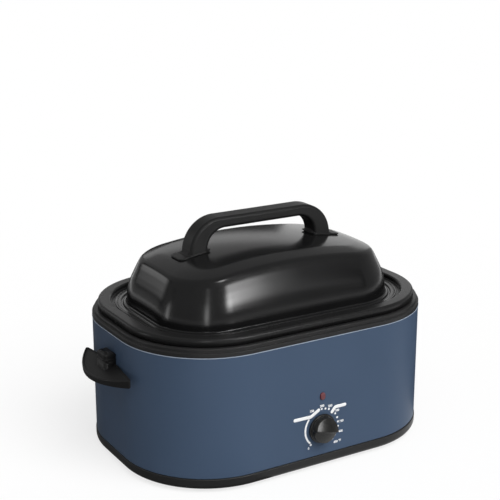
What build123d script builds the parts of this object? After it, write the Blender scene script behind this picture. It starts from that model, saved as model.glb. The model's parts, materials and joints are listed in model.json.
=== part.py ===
from build123d import *
import math
import os

# Electric roaster oven: a painted steel casing round a heated well, a lift-out cooking pan with
# a wire rack, and a lift-off domed lid. Millimetres. X runs along the long side, the control
# panel faces -Y, +Z is up, and Z = 0 is the surface that the feet stand on.
# Everything is drawn about the casing's own middle and moved by centre_shift_y at the end.
# An "inset" is a distance inwards from the casing's outline, seen from above.

# ---- casing outline and heights ----
casing_length = 560.0
casing_depth = 394.0
casing_corner_radius = 155.0
casing_height = 206.2
casing_wall = 1.0
casing_hem = 14.0
hem_bend_radius = 1.8

foot_height = 5.0
foot_radius = 16.0
foot_rounding = 1.5
foot_stem_radius = 5.0
foot_barb_radius = 6.5
foot_barb_height = 2.5
foot_from_end = 92.0
foot_from_side = 77.0

tray_height = 19.0
tray_wall = 1.5
tray_proud = 1.0
tray_edge_radius = 9.0
tray_floor_inset = 60.0
tray_floor_lap = 1.0
vent_length = 46.0
vent_width = 4.0
vent_pitch_x = 64.0
vent_pitch_y = 16.0
vent_columns = 3
vent_rows = 5

# ---- collar ----
collar_height = 13.6
collar_wall = 3.0
collar_proud = 0.8
collar_band_height = 6.8
collar_step = 1.2
collar_step_height = 1.0
collar_outer_rounding = 4.8
collar_inner_rounding = 2.0
collar_width = 26.5
collar_lip_wall = 2.5
collar_boss_radius = 4.5
collar_boss_inset = 10.0
collar_boss_share = 0.8
collar_boss_sink = 0.5

# ---- heating well ----
well_wall = 0.8
well_inset = 33.0
well_flange_inset = 6.0
well_floor_z = 55.0
well_edge_radius = 18.0
well_bend_radius = 2.5

# ---- cooking pan ----
pan_wall = 1.2
pan_flange_inset = 11.0
pan_flange_width = 20.0
pan_skirt_height = 12.5
pan_step_depth = 7.8
pan_ledge_width = 15.2
pan_draft = 2.5
pan_floor_clearance = 11.0
pan_edge_radius = 25.0
pan_flange_rounding = 3.0
pan_step_bend = 2.2
floor_run = 10.0
floor_lap = 2.0

# ---- lid ----
lid_wall = 1.0
lid_rim_clearance = 6.0
lid_flange_width = 10.5
lid_bead_width = 4.5
lid_bead_depth = 3.4
lid_bead_slope = 1.0
lid_wall_foot = 4.0
lid_wall_height = 70.0
lid_shoulder_height = 86.0
lid_top_height = 96.0
lid_top_corner_radius = 43.0
lid_lean_share = 0.367
lid_shoulder_share = 0.6
lid_flat_run = 24.0
lid_bends = [1.0, 0.6, 0.6, 1.0, 12.0, 18.0, 30.0]
lid_washer_thickness = 1.2
lid_washer_radius = 8.0
lid_screw_depth = 18.0

# ---- lid handle ----
handle_from_end = 144.5
handle_width = 32.0
handle_top_height = 156.0
handle_bar_thickness = 18.0
handle_leg_thickness = 29.0
handle_outer_radius = 45.0
handle_inner_radius = 27.0
handle_edge_radius = 4.5
handle_foot_length = 58.0
handle_foot_width = 38.0
handle_foot_thickness = 3.2
handle_foot_corner = 8.0
handle_foot_rounding = 1.5
handle_foot_inside = 4.0
handle_pad_thickness = 1.5
handle_pad_margin = 1.5

# ---- control knob and thermostat ----
knob_x = 4.0
knob_z = 73.0
knob_skirt_radius = 25.0
knob_skirt_thickness = 4.0
knob_body_radius = 22.0
knob_height = 22.0
knob_panel_gap = 1.0
knob_pointer_angle = 167.4
knob_ridge_width = 11.0
knob_scoop_radius = 26.0
knob_scoop_depth = 13.0
knob_hollow_radius = 11.0
knob_hollow_depth = 8.0
knob_skirt_rounding = 1.2
knob_crown_rounding = 2.0
knob_crown_flare = 1.0
knob_crown_taper = 1.5
knob_crown_sink = 0.5
shaft_radius = 3.0
shaft_running_clearance = 0.05
shaft_into_knob = 15.0
thermostat_width = 40.0
thermostat_height = 34.0
thermostat_depth = 20.0
thermostat_neck_radius = 5.0
thermostat_neck_length = 6.0
thermostat_nut_width = 3.0
thermostat_nut_thickness = 2.5
thermostat_corner_radius = 4.0
thermostat_bore_floor = 4.0
shaft_end_gap = 2.0
tab_from_side = 8.0
tab_half_width = 3.0
tab_length = 8.0
tab_thickness = 1.0
tab_from_panel = 6.0
clip_wall = 0.6
clip_length = 5.0
clip_from_end = 1.0
clip_end_play = 0.2
clip_slit = 1.0

# ---- indicator ----
lens_x = 5.0
lens_z = 129.3
lens_width = 10.0
lens_height = 13.0
lens_thickness = 2.6
lens_flange = 1.2
lens_stem_length = 15.0
lens_rounding = 1.8
lens_clip_thickness = 1.0
lens_clip_margin = 4.0
lamp_radius = 2.2
lamp_length = 12.0
lamp_tail = 3.0
lamp_rounding = 1.5

# ---- side handles ----
wing_half_span = 85.0
wing_reach = 43.1
wing_tip_reach = 10.6
wing_wall_gap = 1.5
wing_below_rim = 55.2
wing_end_slant = 7.0
wing_taper = 0.4
wing_hollow_margin = 0.5
wing_thickness = 11.0
wing_skin = 3.0
wing_dish_depth = 1.5
wing_rim = 5.0
wing_edge_radius = 2.0
wing_tip_radius = 4.0
block_half_width = 17.5
block_reach = 22.0
block_above_wing = 25.0
block_slot_above_wing = 9.0
block_slot_margin = 6.0
block_slot_height = 4.5
block_slot_depth = 7.0
block_edge_radius = 2.5
handle_screw_above_wing = 17.0
handle_screw_depth = 13.0
handle_screw_play = 1.0
handle_screw_y = 9.0
backing_plate_thickness = 1.5
backing_plate_margin = 6.0

# ---- heater, insulation and shield ----
band_thickness = 1.5
band_bottom_z = 75.0
band_height = 60.0
strap_thickness = 0.6
strap_height = 14.0
strap_ear_x = -40.0
strap_ear_gap = 8.0
strap_ear_reach = 10.0
strap_ear_thickness = 1.5
strap_bolt_tail = 6.0
strap_nut_thickness = 3.0
insulation_gap = 0.3
insulation_thickness = 13.0
insulation_bottom_z = 60.0
insulation_below_rim = 15.2
window_front_left = 55.0
window_front_right = 78.0
window_rear = 75.0
shield_z = 34.0
shield_thickness = 0.6
shield_inset = 45.0
post_from_end = 130.0
post_from_side = 117.0
post_lower_radius = 7.0
post_upper_radius = 4.0
post_clearance = 0.2

# ---- supply side ----
gland_x = 0.0
gland_z = 40.0
gland_bore_radius = 4.0
gland_body_radius = 8.0
gland_flange_width = 4.0
gland_flange_thickness = 9.0
gland_inside_length = 10.0
gland_nut_width = 3.0
gland_nut_thickness = 4.0
gland_rounding = 3.0
terminal_x = -34.0
terminal_length = 36.0
terminal_width = 16.0
terminal_height = 15.0
terminal_from_wall = 24.0
terminal_well_radius = 3.2
terminal_well_depth = 5.0
terminal_screw_radius = 2.9
terminal_screw_height = 3.0
fuse_x = 52.0
fuse_z = 152.0
fuse_radius = 2.5
fuse_length = 16.0
bulb_x = 42.0
bulb_z = 152.0
bulb_radius = 3.0
bulb_length = 44.0
saddle_wall = 0.8
saddle_width = 8.0
saddle_ear = 5.0
saddle_mouth_share = 0.8
bulb_saddle_shift = 4.0
capillary_radius = 1.0
capillary_bend = 7.0
capillary_x_from_knob = 14.0
lead_radius = 1.3
lead_bend = 8.0
lead_tight_bend = 5.0
lead_hem_gap = 4.0

# ---- fasteners ----
screw_radius = 2.0
screw_head_radius = 4.0
screw_head_height = 2.2
rivet_radius = 1.6
rivet_head_radius = 3.2
rivet_head_height = 1.2
fastener_clearance = 0.2
collar_screw_play = 1.0
rivet_x_share = 0.88
rivet_y_share = 0.7
past_face = 2.0

# ---- rack ----
wire_radius = 1.6
rack_end_gap = 39.3
rack_side_gap = 40.3
rack_corner_radius = 32.0
rack_stand_height = 12.0
rack_floor_gap = 0.3
rack_wire_end_gap = 12.0
rack_wire_count = 13
rack_stand_share = 0.7
rack_weld = 0.4
rack_long_wire_y = 38.0
rack_handle_foot_gap = 16.0
rack_handle_top_y = 46.0
rack_handle_wall_gap = 19.8
rack_handle_sink = 0.6
rack_handle_below_rim = 5.6
rack_handle_bend = 6.0

# ---- levels and places worked out from the values above ----
end_x = casing_length / 2
front_y = -casing_depth / 2
rear_y = casing_depth / 2
straight_x = end_x - casing_corner_radius
straight_y = rear_y - casing_corner_radius
tray_bottom_z = foot_height
casing_bottom_z = tray_bottom_z + tray_height
casing_top_z = casing_bottom_z + casing_height
collar_top_z = casing_top_z + collar_height
well_flange_top_z = casing_top_z + well_wall
tray_inside_z = tray_bottom_z + tray_wall
insulation_top_z = casing_top_z - insulation_below_rim
post_x = end_x - post_from_end
post_y = rear_y - post_from_side
collar_boss_x = collar_boss_share * straight_x
rivet_x = rivet_x_share * straight_x
rivet_y = rivet_y_share * straight_y
terminal_y = rear_y - terminal_from_wall

wing_top_z = casing_top_z - wing_below_rim
block_top_z = wing_top_z + block_above_wing
block_slot_z = wing_top_z + block_slot_above_wing
handle_screw_z = wing_top_z + handle_screw_above_wing

pan_top_z = collar_top_z + pan_skirt_height
pan_ledge_z = pan_top_z - pan_step_depth
pan_step_inset = pan_flange_inset + pan_flange_width
pan_wall_inset = pan_step_inset + pan_ledge_width
pan_bottom_inset = pan_wall_inset + pan_draft
pan_outside_floor_z = well_floor_z + pan_floor_clearance
pan_inside_floor_z = pan_outside_floor_z + pan_wall

lid_seat_z = pan_ledge_z
lid_flange_inset = pan_step_inset + lid_rim_clearance
lid_bead_inset = lid_flange_inset + lid_flange_width
lid_base_inset = lid_bead_inset + lid_bead_width
lid_top_inset = casing_corner_radius - lid_top_corner_radius
lid_lean = lid_lean_share * (lid_top_inset - lid_base_inset)
lid_shoulder = lid_shoulder_share * (lid_top_inset - lid_base_inset)
lid_top_z = lid_seat_z + lid_top_height
handle_length = 2 * (end_x - handle_from_end)
handle_seat_z = lid_top_z + handle_pad_thickness
handle_leg_x = (handle_length - handle_leg_thickness) / 2
handle_foot_low_x = handle_length / 2 - handle_leg_thickness - handle_foot_inside
handle_foot_x = handle_foot_low_x + handle_foot_length / 2

rack_half_length = end_x - pan_bottom_inset - rack_end_gap
rack_half_width = rear_y - pan_bottom_inset - rack_side_gap
rack_wire_pitch = 2 * (rack_half_length - rack_wire_end_gap) / (rack_wire_count - 1)
rack_handle_foot_y = rack_half_width - rack_handle_foot_gap
rack_handle_top_x = end_x - pan_wall_inset - rack_handle_wall_gap

well_outside_inset = well_inset - well_wall
band_inset = well_outside_inset - band_thickness
strap_inset = band_inset - strap_thickness

knob_front_y = front_y - knob_panel_gap - knob_height
gland_rear_y = rear_y + gland_flange_thickness
gland_flange_radius = gland_body_radius + gland_flange_width
gland_nut_radius = gland_body_radius + gland_nut_width
thermostat_nut_radius = thermostat_neck_radius + thermostat_nut_width
centre_shift_y = -(knob_front_y + gland_rear_y) / 2


def outline_path(inset=0.0, z=0.0):
    """The casing's outline as a closed wire that starts in the middle of the +X end."""
    x = casing_length / 2 - inset
    y = casing_depth / 2 - inset
    r = casing_corner_radius - inset
    cx, cy, k = x - r, y - r, r * math.sqrt(0.5)
    return Wire([
        Line((x, 0, z), (x, cy, z)),
        ThreePointArc((x, cy, z), (cx + k, cy + k, z), (cx, y, z)),
        Line((cx, y, z), (-cx, y, z)),
        ThreePointArc((-cx, y, z), (-cx - k, cy + k, z), (-x, cy, z)),
        Line((-x, cy, z), (-x, -cy, z)),
        ThreePointArc((-x, -cy, z), (-cx - k, -cy - k, z), (-cx, -y, z)),
        Line((-cx, -y, z), (cx, -y, z)),
        ThreePointArc((cx, -y, z), (cx + k, -cy - k, z), (x, -cy, z)),
        Line((x, -cy, z), (x, 0, z)),
    ])


def swept(section):
    """A section drawn at the +X end, carried round the casing's outline."""
    return sweep((Plane.XZ * section).face(), path=outline_path())


def ring_of_sheet(points, bends, thickness):
    """Bent sheet: points are (inset, z) on one face, and the thickness lies to their left."""
    line = FilletPolyline(*[(end_x - inset, z) for inset, z in points], radius=bends)
    closed = offset(line, amount=thickness, side=Side.LEFT)
    return swept(make_face(closed.edges()))


def ring_of_section(points, roundings=None):
    """Solid ring: points are the (inset, z) corners of its section, roundings radii by index."""
    section = Polygon(*[(end_x - inset, z) for inset, z in points], align=None)
    for index, radius in (roundings or {}).items():
        inset, z = points[index]
        corner = section.vertices().sort_by_distance((end_x - inset, z, 0))[0]
        section = fillet(corner, radius)
    return swept(section)


def plate(inset, z_low, z_high):
    """A flat plate with the casing's outline, inset all round."""
    shape = RectangleRounded(
        casing_length - 2 * inset, casing_depth - 2 * inset, casing_corner_radius - inset
    )
    return Pos(0, 0, z_low) * extrude(shape, z_high - z_low)


def bent_rod(points, bend, radius):
    """A round bar along straight runs joined by tangent arcs."""
    path = FilletPolyline(*points, radius=bend)
    return sweep(Plane(origin=points[0], z_dir=path % 0) * Circle(radius), path=path)


def along_y(x, y_low, y_high, z, radius):
    """A cylinder along Y."""
    length = y_high - y_low
    return Pos(x, (y_low + y_high) / 2, z) * Rot(90, 0, 0) * Cylinder(radius, length)


def along_x(x_low, x_high, y, z, radius):
    """A cylinder along X."""
    length = x_high - x_low
    return Pos((x_low + x_high) / 2, y, z) * Rot(0, 90, 0) * Cylinder(radius, length)


def upright(x, y, z_low, z_high, radius):
    """A cylinder along Z."""
    return Pos(x, y, (z_low + z_high) / 2) * Cylinder(radius, z_high - z_low)


def block(x_low, x_high, y_low, y_high, z_low, z_high):
    """A box between its low and high corners."""
    middle = Pos((x_low + x_high) / 2, (y_low + y_high) / 2, (z_low + z_high) / 2)
    return middle * Box(x_high - x_low, y_high - y_low, z_high - z_low)


def foot_places():
    x, y = end_x - foot_from_end, rear_y - foot_from_side
    return {
        "front_left": (-x, -y),
        "front_right": (x, -y),
        "rear_left": (-x, y),
        "rear_right": (x, y),
    }


def post_places():
    return [(sx * post_x, sy * post_y) for sx in (-1, 1) for sy in (-1, 1)]


def rivet_places():
    edge = casing_hem / 2
    sides = [(sx * rivet_x, sy * (rear_y - edge)) for sx in (-1, 1) for sy in (-1, 1)]
    ends = [(sx * (end_x - edge), sy * rivet_y) for sx in (-1, 1) for sy in (-1, 1)]
    return sides + ends


def collar_screw_places():
    edge = collar_boss_inset
    sides = [(sx * collar_boss_x, sy * (rear_y - edge)) for sx in (-1, 1) for sy in (-1, 1)]
    ends = [(sx * (end_x - edge), 0.0) for sx in (-1, 1)]
    return sides + ends


def handle_screw_places():
    return [(y, handle_screw_z) for y in (-handle_screw_y, handle_screw_y)]


def make_outer_casing():
    body = ring_of_sheet(
        [
            (casing_hem, casing_bottom_z),
            (0, casing_bottom_z),
            (0, casing_top_z),
            (casing_hem, casing_top_z),
        ],
        hem_bend_radius,
        casing_wall,
    )
    neck_hole = thermostat_neck_radius + fastener_clearance
    front_low, front_high = front_y - past_face, front_y + casing_wall + past_face
    rear_low, rear_high = rear_y - casing_wall - past_face, rear_y + past_face
    body -= along_y(knob_x, front_low, front_high, knob_z, neck_hole)
    body -= Pos(0, fastener_clearance, 0) * lens_stem(fastener_clearance)
    gland_hole = gland_body_radius + fastener_clearance
    body -= along_y(gland_x, rear_low, rear_high, gland_z, gland_hole)
    hole = screw_radius + fastener_clearance
    end_low, end_high = end_x - casing_wall - past_face, end_x + past_face
    for y, z in handle_screw_places():
        body -= along_x(-end_high, -end_low, y, z, hole)
        body -= along_x(end_low, end_high, y, z, hole)
    hem_low, hem_high = casing_bottom_z - past_face, casing_bottom_z + casing_wall + past_face
    for x, y in rivet_places():
        body -= upright(x, y, hem_low, hem_high, rivet_radius)
    top_low, top_high = casing_top_z - casing_wall - past_face, casing_top_z + past_face
    for x, y in collar_screw_places():
        body -= upright(x, y, top_low, top_high, hole)
    return body


def make_top_collar():
    step_z = casing_top_z + collar_band_height
    body = ring_of_section(
        [
            (-collar_proud, casing_top_z),
            (-collar_proud, step_z),
            (collar_step - collar_proud, step_z + collar_step_height),
            (collar_step - collar_proud, collar_top_z),
            (collar_width, collar_top_z),
            (collar_width, well_flange_top_z),
            (collar_width - collar_lip_wall, well_flange_top_z),
            (collar_width - collar_lip_wall, collar_top_z - collar_wall),
            (collar_wall - collar_proud, collar_top_z - collar_wall),
            (collar_wall - collar_proud, casing_top_z),
        ],
        {3: collar_outer_rounding, 4: collar_inner_rounding},
    )
    roof_z = collar_top_z - collar_wall
    for x, y in collar_screw_places():
        body += upright(x, y, well_flange_top_z, roof_z + collar_boss_sink, collar_boss_radius)
    for x, y in collar_screw_places():
        body -= upright(x, y, well_flange_top_z - past_face, roof_z, screw_radius)
    return body


def make_base_tray():
    body = ring_of_sheet(
        [
            (tray_floor_inset, tray_bottom_z),
            (-tray_proud, tray_bottom_z),
            (-tray_proud, casing_bottom_z),
            (casing_hem, casing_bottom_z),
        ],
        [tray_edge_radius, hem_bend_radius],
        tray_wall,
    )
    body += plate(tray_floor_inset - tray_floor_lap, tray_bottom_z, tray_inside_z)
    floor_low, floor_high = tray_bottom_z - past_face, tray_inside_z + past_face
    for x, y in foot_places().values():
        body -= upright(x, y, floor_low, floor_high, foot_stem_radius + fastener_clearance)
    flange_low = casing_bottom_z - tray_wall - past_face
    for x, y in rivet_places():
        body -= upright(x, y, flange_low, casing_bottom_z + past_face, rivet_radius)
    for column in range(vent_columns):
        for row in range(vent_rows):
            x = (column - (vent_columns - 1) / 2) * vent_pitch_x
            y = (row - (vent_rows - 1) / 2) * vent_pitch_y
            slot = extrude(SlotOverall(vent_length, vent_width), floor_high - floor_low)
            body -= Pos(x, y, floor_low) * slot
    return body


def make_foot(x, y):
    pad = upright(x, y, 0, foot_height, foot_radius)
    pad = fillet(pad.edges().group_by(Axis.Z)[0], foot_rounding)
    stem = upright(x, y, foot_height, tray_inside_z, foot_stem_radius)
    barb = upright(x, y, tray_inside_z, tray_inside_z + foot_barb_height, foot_barb_radius)
    return pad + stem + barb


def make_tray_rivets():
    low = casing_bottom_z - tray_wall
    high = casing_bottom_z + casing_wall
    group = []
    for x, y in rivet_places():
        rivet = upright(x, y, low, high, rivet_radius)
        rivet += upright(x, y, high, high + rivet_head_height, rivet_head_radius)
        rivet += upright(x, y, low - rivet_head_height, low, rivet_head_radius)
        group.append(rivet)
    return group


def make_collar_screws():
    under = casing_top_z - casing_wall
    group = []
    for x, y in collar_screw_places():
        screw = upright(x, y, under, collar_top_z - collar_wall - collar_screw_play, screw_radius)
        screw += upright(x, y, under - screw_head_height, under, screw_head_radius)
        group.append(screw)
    return group


def make_heating_well():
    floor_end = well_inset + well_edge_radius + floor_run
    body = ring_of_sheet(
        [
            (well_flange_inset, well_flange_top_z),
            (well_inset, well_flange_top_z),
            (well_inset, well_floor_z),
            (floor_end, well_floor_z),
        ],
        [well_bend_radius, well_edge_radius],
        well_wall,
    )
    body += plate(floor_end - floor_lap, well_floor_z - well_wall, well_floor_z)
    hole = screw_radius + fastener_clearance
    for x, y in collar_screw_places():
        body -= upright(x, y, casing_top_z - past_face, well_flange_top_z + past_face, hole)
    return body


def make_heating_band():
    low, high = band_bottom_z, band_bottom_z + band_height
    return ring_of_section([
        (band_inset, low), (band_inset, high), (well_outside_inset, high), (well_outside_inset, low)
    ])


def strap_levels():
    middle = band_bottom_z + band_height / 2
    return middle - strap_height / 2, middle + strap_height / 2


def make_band_strap():
    low, high = strap_levels()
    body = ring_of_section([
        (strap_inset, low), (strap_inset, high), (band_inset, high), (band_inset, low)
    ])
    seat = rear_y - strap_inset
    for side in (-1, 1):
        near = strap_ear_x + side * strap_ear_gap / 2
        far = near + side * strap_ear_thickness
        ear = block(min(near, far), max(near, far), seat - strap_thickness, seat + strap_ear_reach,
                    low, high)
        body += ear
    bolt_hole = screw_radius + fastener_clearance
    reach = strap_ear_gap / 2 + strap_ear_thickness + past_face
    body -= along_x(strap_ear_x - reach, strap_ear_x + reach, seat + strap_ear_reach / 2,
                    (low + high) / 2, bolt_hole)
    return body


def make_strap_bolt():
    low, high = strap_levels()
    y, z = rear_y - strap_inset + strap_ear_reach / 2, (low + high) / 2
    reach = strap_ear_gap / 2 + strap_ear_thickness
    nut_x, head_x = strap_ear_x - reach, strap_ear_x + reach
    bolt = along_x(nut_x - strap_bolt_tail, head_x, y, z, screw_radius)
    bolt += along_x(head_x, head_x + screw_head_height, y, z, screw_head_radius)
    hexagon = extrude(RegularPolygon(screw_head_radius, 6), strap_nut_thickness)
    nut = Pos(nut_x - strap_nut_thickness, y, z) * Rot(0, 90, 0) * hexagon
    nut -= along_x(nut_x - strap_nut_thickness - past_face, nut_x + past_face, y, z, screw_radius)
    return [bolt, nut]


def make_insulation(side):
    """One half of the glass-fibre blanket: open at the panel and at the supply side."""
    inner = well_outside_inset - insulation_gap
    band_side = strap_inset - insulation_gap
    outer = inner - insulation_thickness
    low, high = insulation_bottom_z, insulation_top_z
    band_low, band_high = band_bottom_z - insulation_gap, band_bottom_z + band_height + insulation_gap
    body = ring_of_section([
        (outer, low), (outer, high), (inner, high), (inner, band_high), (band_side, band_high),
        (band_side, band_low), (inner, band_low), (inner, low),
    ])
    front = window_front_right if side > 0 else -window_front_left
    rear = side * window_rear
    far = -side * end_x
    low, high = low - past_face, high + past_face
    body -= block(min(0, far), max(0, far), front_y, rear_y, low, high)
    body -= block(min(0, front), max(0, front), front_y, 0, low, high)
    body -= block(min(0, rear), max(0, rear), 0, rear_y, low, high)
    return body


def make_heat_shield():
    body = plate(shield_inset, shield_z, shield_z + shield_thickness)
    for x, y in post_places():
        hole = post_upper_radius + post_clearance
        body -= upright(x, y, shield_z - past_face, shield_z + shield_thickness + past_face, hole)
    return body


def make_well_posts():
    group = []
    for x, y in post_places():
        post = upright(x, y, tray_inside_z, shield_z, post_lower_radius)
        post += upright(x, y, shield_z, well_floor_z - well_wall, post_upper_radius)
        group.append(post)
    return group


def make_thermostat_body():
    back = front_y + casing_wall
    half_w, half_h = thermostat_width / 2, thermostat_height / 2
    case = block(knob_x - half_w, knob_x + half_w, back, back + thermostat_depth,
                 knob_z - half_h, knob_z + half_h)
    case = fillet(case.edges().filter_by(Axis.Y), thermostat_corner_radius)
    neck_end = back - thermostat_neck_length
    neck = along_y(knob_x, neck_end, back, knob_z, thermostat_neck_radius)
    body = case + neck
    bore = shaft_radius + shaft_running_clearance
    bore_end = back + thermostat_depth - thermostat_bore_floor
    body -= along_y(knob_x, neck_end - past_face, bore_end, knob_z, bore)
    low = knob_z - half_h - tab_length
    near = back + tab_from_panel
    for side in (-1, 1):
        tab_x = knob_x + side * (half_w - tab_from_side)
        body += block(tab_x - tab_half_width, tab_x + tab_half_width, near, near + tab_thickness,
                      low, knob_z - half_h)
    return body


def make_thermostat_nut():
    hexagon = extrude(RegularPolygon(thermostat_nut_radius, 6), thermostat_nut_thickness)
    nut = Pos(knob_x, front_y, knob_z) * Rot(90, 0, 0) * hexagon
    far = front_y - thermostat_nut_thickness - past_face
    return nut - along_y(knob_x, far, front_y + past_face, knob_z, thermostat_neck_radius)


def make_thermostat_shaft():
    back = front_y + casing_wall + thermostat_depth - thermostat_bore_floor - shaft_end_gap
    front = front_y - knob_panel_gap - shaft_into_knob
    return along_y(knob_x, front, back, knob_z, shaft_radius)


def make_knob_clip():
    """Split spring sleeve that grips the shaft inside the knob's hub."""
    low = front_y - knob_panel_gap - shaft_into_knob + clip_from_end
    high = low + clip_length
    sleeve = along_y(knob_x, low, high, knob_z, shaft_radius + clip_wall)
    low, high = low - past_face, high + past_face
    sleeve -= along_y(knob_x, low, high, knob_z, shaft_radius)
    top = knob_z + shaft_radius + clip_wall + past_face
    return sleeve - block(knob_x - clip_slit / 2, knob_x + clip_slit / 2, low, high, knob_z, top)


def make_control_knob():
    """Round knob with a gripping ridge, drawn with its back at y = 0 and its front at -Y."""
    skirt = Cylinder(knob_skirt_radius, knob_skirt_thickness)
    skirt = fillet(skirt.edges().group_by(Axis.Z)[-1], knob_skirt_rounding)
    skirt = Pos(0, 0, knob_skirt_thickness / 2) * skirt
    height = knob_height - knob_skirt_thickness + knob_crown_sink
    wide, narrow = knob_body_radius + knob_crown_flare, knob_body_radius - knob_crown_taper
    crown = Cone(wide, narrow, height)
    crown = fillet(crown.edges().group_by(Axis.Z)[-1], knob_crown_rounding)
    crown = Pos(0, 0, knob_height - height / 2) * crown
    for side in (-1, 1):
        scoop_y = side * (knob_ridge_width / 2 + knob_scoop_radius)
        scoop_z = knob_height + knob_scoop_radius - knob_scoop_depth
        scoop = Rot(0, 90, 0) * Cylinder(knob_scoop_radius, 4 * knob_body_radius)
        crown -= Pos(0, scoop_y, scoop_z) * scoop
    knob = skirt + crown
    knob -= Pos(0, 0, knob_hollow_depth / 2) * Cylinder(knob_hollow_radius, knob_hollow_depth)
    grip = shaft_radius + shaft_running_clearance
    knob -= Pos(0, 0, shaft_into_knob / 2) * Cylinder(grip, shaft_into_knob + clip_end_play)
    clip_middle = shaft_into_knob - clip_from_end - clip_length / 2
    clip_room = shaft_radius + clip_wall + shaft_running_clearance
    knob -= Pos(0, 0, clip_middle) * Cylinder(clip_room, clip_length + 2 * clip_end_play)
    turned = Rot(0, 0, knob_pointer_angle) * knob
    facing = Rot(90, 0, 0) * turned
    return Pos(knob_x, front_y - knob_panel_gap, knob_z) * facing


def lens_stem(extra=0.0):
    """The lens's stem behind the panel, or with extra all round the room for it."""
    width = lens_width - 2 * lens_flange + 2 * extra
    height = lens_height - 2 * lens_flange + 2 * extra
    start = lens_thickness / 2
    place = Pos(lens_x, front_y - start, lens_z) * Rot(-90, 0, 0)
    return place * extrude(SlotOverall(height, width, rotation=90), lens_stem_length + start)


def make_indicator_lens():
    head = extrude(SlotOverall(lens_height, lens_width, rotation=90), lens_thickness)
    head = fillet(head.edges().group_by(Axis.Z)[-1], lens_rounding)
    lens = Pos(lens_x, front_y, lens_z) * Rot(90, 0, 0) * head
    lens += lens_stem()
    room = lamp_radius + fastener_clearance
    far = front_y + lens_stem_length + past_face
    lens -= along_y(lens_x, front_y + casing_wall, far, lens_z, room)
    return lens


def make_indicator_lamp():
    low = front_y + lens_stem_length - lamp_length + lamp_tail
    glass = along_y(lens_x, low, low + lamp_length, lens_z, lamp_radius)
    return fillet(glass.edges().group_by(Axis.Y)[0], lamp_rounding)


def make_lens_clip():
    """Push-on spring washer that holds the lens behind the panel."""
    back = front_y + casing_wall
    shape = SlotOverall(lens_height + lens_clip_margin, lens_width + lens_clip_margin, rotation=90)
    hole = SlotOverall(lens_height - 2 * lens_flange, lens_width - 2 * lens_flange, rotation=90)
    washer = extrude(shape - hole, lens_clip_thickness)
    return Pos(lens_x, back, lens_z) * Rot(-90, 0, 0) * washer


def wing_plan(shrink=0.0):
    """Outline of a side handle's wing, for the -X end."""
    span = wing_half_span - shrink
    tip_x = -end_x - wing_tip_reach + shrink * wing_taper
    out_x = -end_x - wing_reach + shrink
    in_x, in_y = -end_x - wing_wall_gap - shrink, span - wing_end_slant
    edge = [
        ThreePointArc((tip_x, -span), (out_x, 0), (tip_x, span)),
        Line((tip_x, span), (in_x, in_y)),
        Line((in_x, in_y), (in_x, -in_y)),
        Line((in_x, -in_y), (tip_x, -span)),
    ]
    plan = make_face(edge)
    corners = plan.vertices().group_by(Axis.X)[0]
    return fillet(corners, wing_tip_radius - shrink / 2)


def make_side_handle(side):
    """Curved wing with a finger recess under it, on a block that is screwed to the end wall."""
    low = wing_top_z - wing_thickness
    wing = Pos(0, 0, low) * extrude(wing_plan(), wing_thickness)
    rims = wing.edges().group_by(Axis.Z)
    wing = fillet(list(rims[-1]) + list(rims[0]), wing_edge_radius)
    dish_depth = wing_dish_depth + past_face
    dish = Pos(0, 0, wing_top_z - wing_dish_depth) * extrude(wing_plan(wing_rim), dish_depth)
    hollow_depth = wing_thickness - wing_dish_depth - wing_skin + past_face
    hollow_plan = wing_plan(wing_skin + wing_hollow_margin)
    hollow = Pos(0, 0, low - past_face) * extrude(hollow_plan, hollow_depth)
    wing = wing - dish - hollow
    upper = block(-end_x - block_reach, -end_x, -block_half_width, block_half_width,
                  low, block_top_z)
    top_edges = upper.edges().group_by(Axis.Z)[-1]
    corner_edges = upper.edges().filter_by(Axis.Z).group_by(Axis.X)[0]
    upper = fillet(top_edges + corner_edges, block_edge_radius)
    slot_x = -end_x - block_reach
    upper -= block(slot_x - past_face, slot_x + block_slot_depth, -block_half_width - past_face,
                   block_half_width - block_slot_margin, block_slot_z,
                   block_slot_z + block_slot_height)
    body = wing + upper
    screw_end = end_x + handle_screw_depth + handle_screw_play
    for y, z in handle_screw_places():
        body -= along_x(-screw_end, past_face - end_x, y, z, screw_radius)
    return body if side < 0 else mirror(body, Plane.YZ)


def make_backing_plates():
    """Strips inside the end walls, bent to follow them, that the side handles' screws pull on."""
    near, far = casing_wall, casing_wall + backing_plate_thickness
    low, high = handle_screw_z - backing_plate_margin, handle_screw_z + backing_plate_margin
    lining = ring_of_section([(near, low), (near, high), (far, high), (far, low)])
    half = handle_screw_y + backing_plate_margin
    hole = screw_radius + fastener_clearance
    plates = []
    for side in (-1, 1):
        strip = lining & block(min(0, side * end_x), max(0, side * end_x), -half, half, low, high)
        for y, z in handle_screw_places():
            strip -= along_x(min(0, side * end_x), max(0, side * end_x), y, z, hole)
        plates.append(strip)
    return plates


def make_handle_screws():
    seat = end_x - casing_wall - backing_plate_thickness
    group = []
    for side in (-1, 1):
        for y, z in handle_screw_places():
            tip, head = side * (end_x + handle_screw_depth), side * seat
            screw = along_x(min(tip, head), max(tip, head), y, z, screw_radius)
            back = side * (seat - screw_head_height)
            screw += along_x(min(head, back), max(head, back), y, z, screw_head_radius)
            group.append(screw)
    return group


def make_cord_gland():
    body = along_y(gland_x, rear_y - casing_wall - gland_inside_length, rear_y, gland_z,
                   gland_body_radius)
    flange = along_y(gland_x, rear_y, gland_rear_y, gland_z, gland_flange_radius)
    body += fillet(flange.edges().group_by(Axis.Y)[-1], gland_rounding)
    inside = rear_y - casing_wall - gland_inside_length - past_face
    return body - along_y(gland_x, inside, gland_rear_y + past_face, gland_z, gland_bore_radius)


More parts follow.
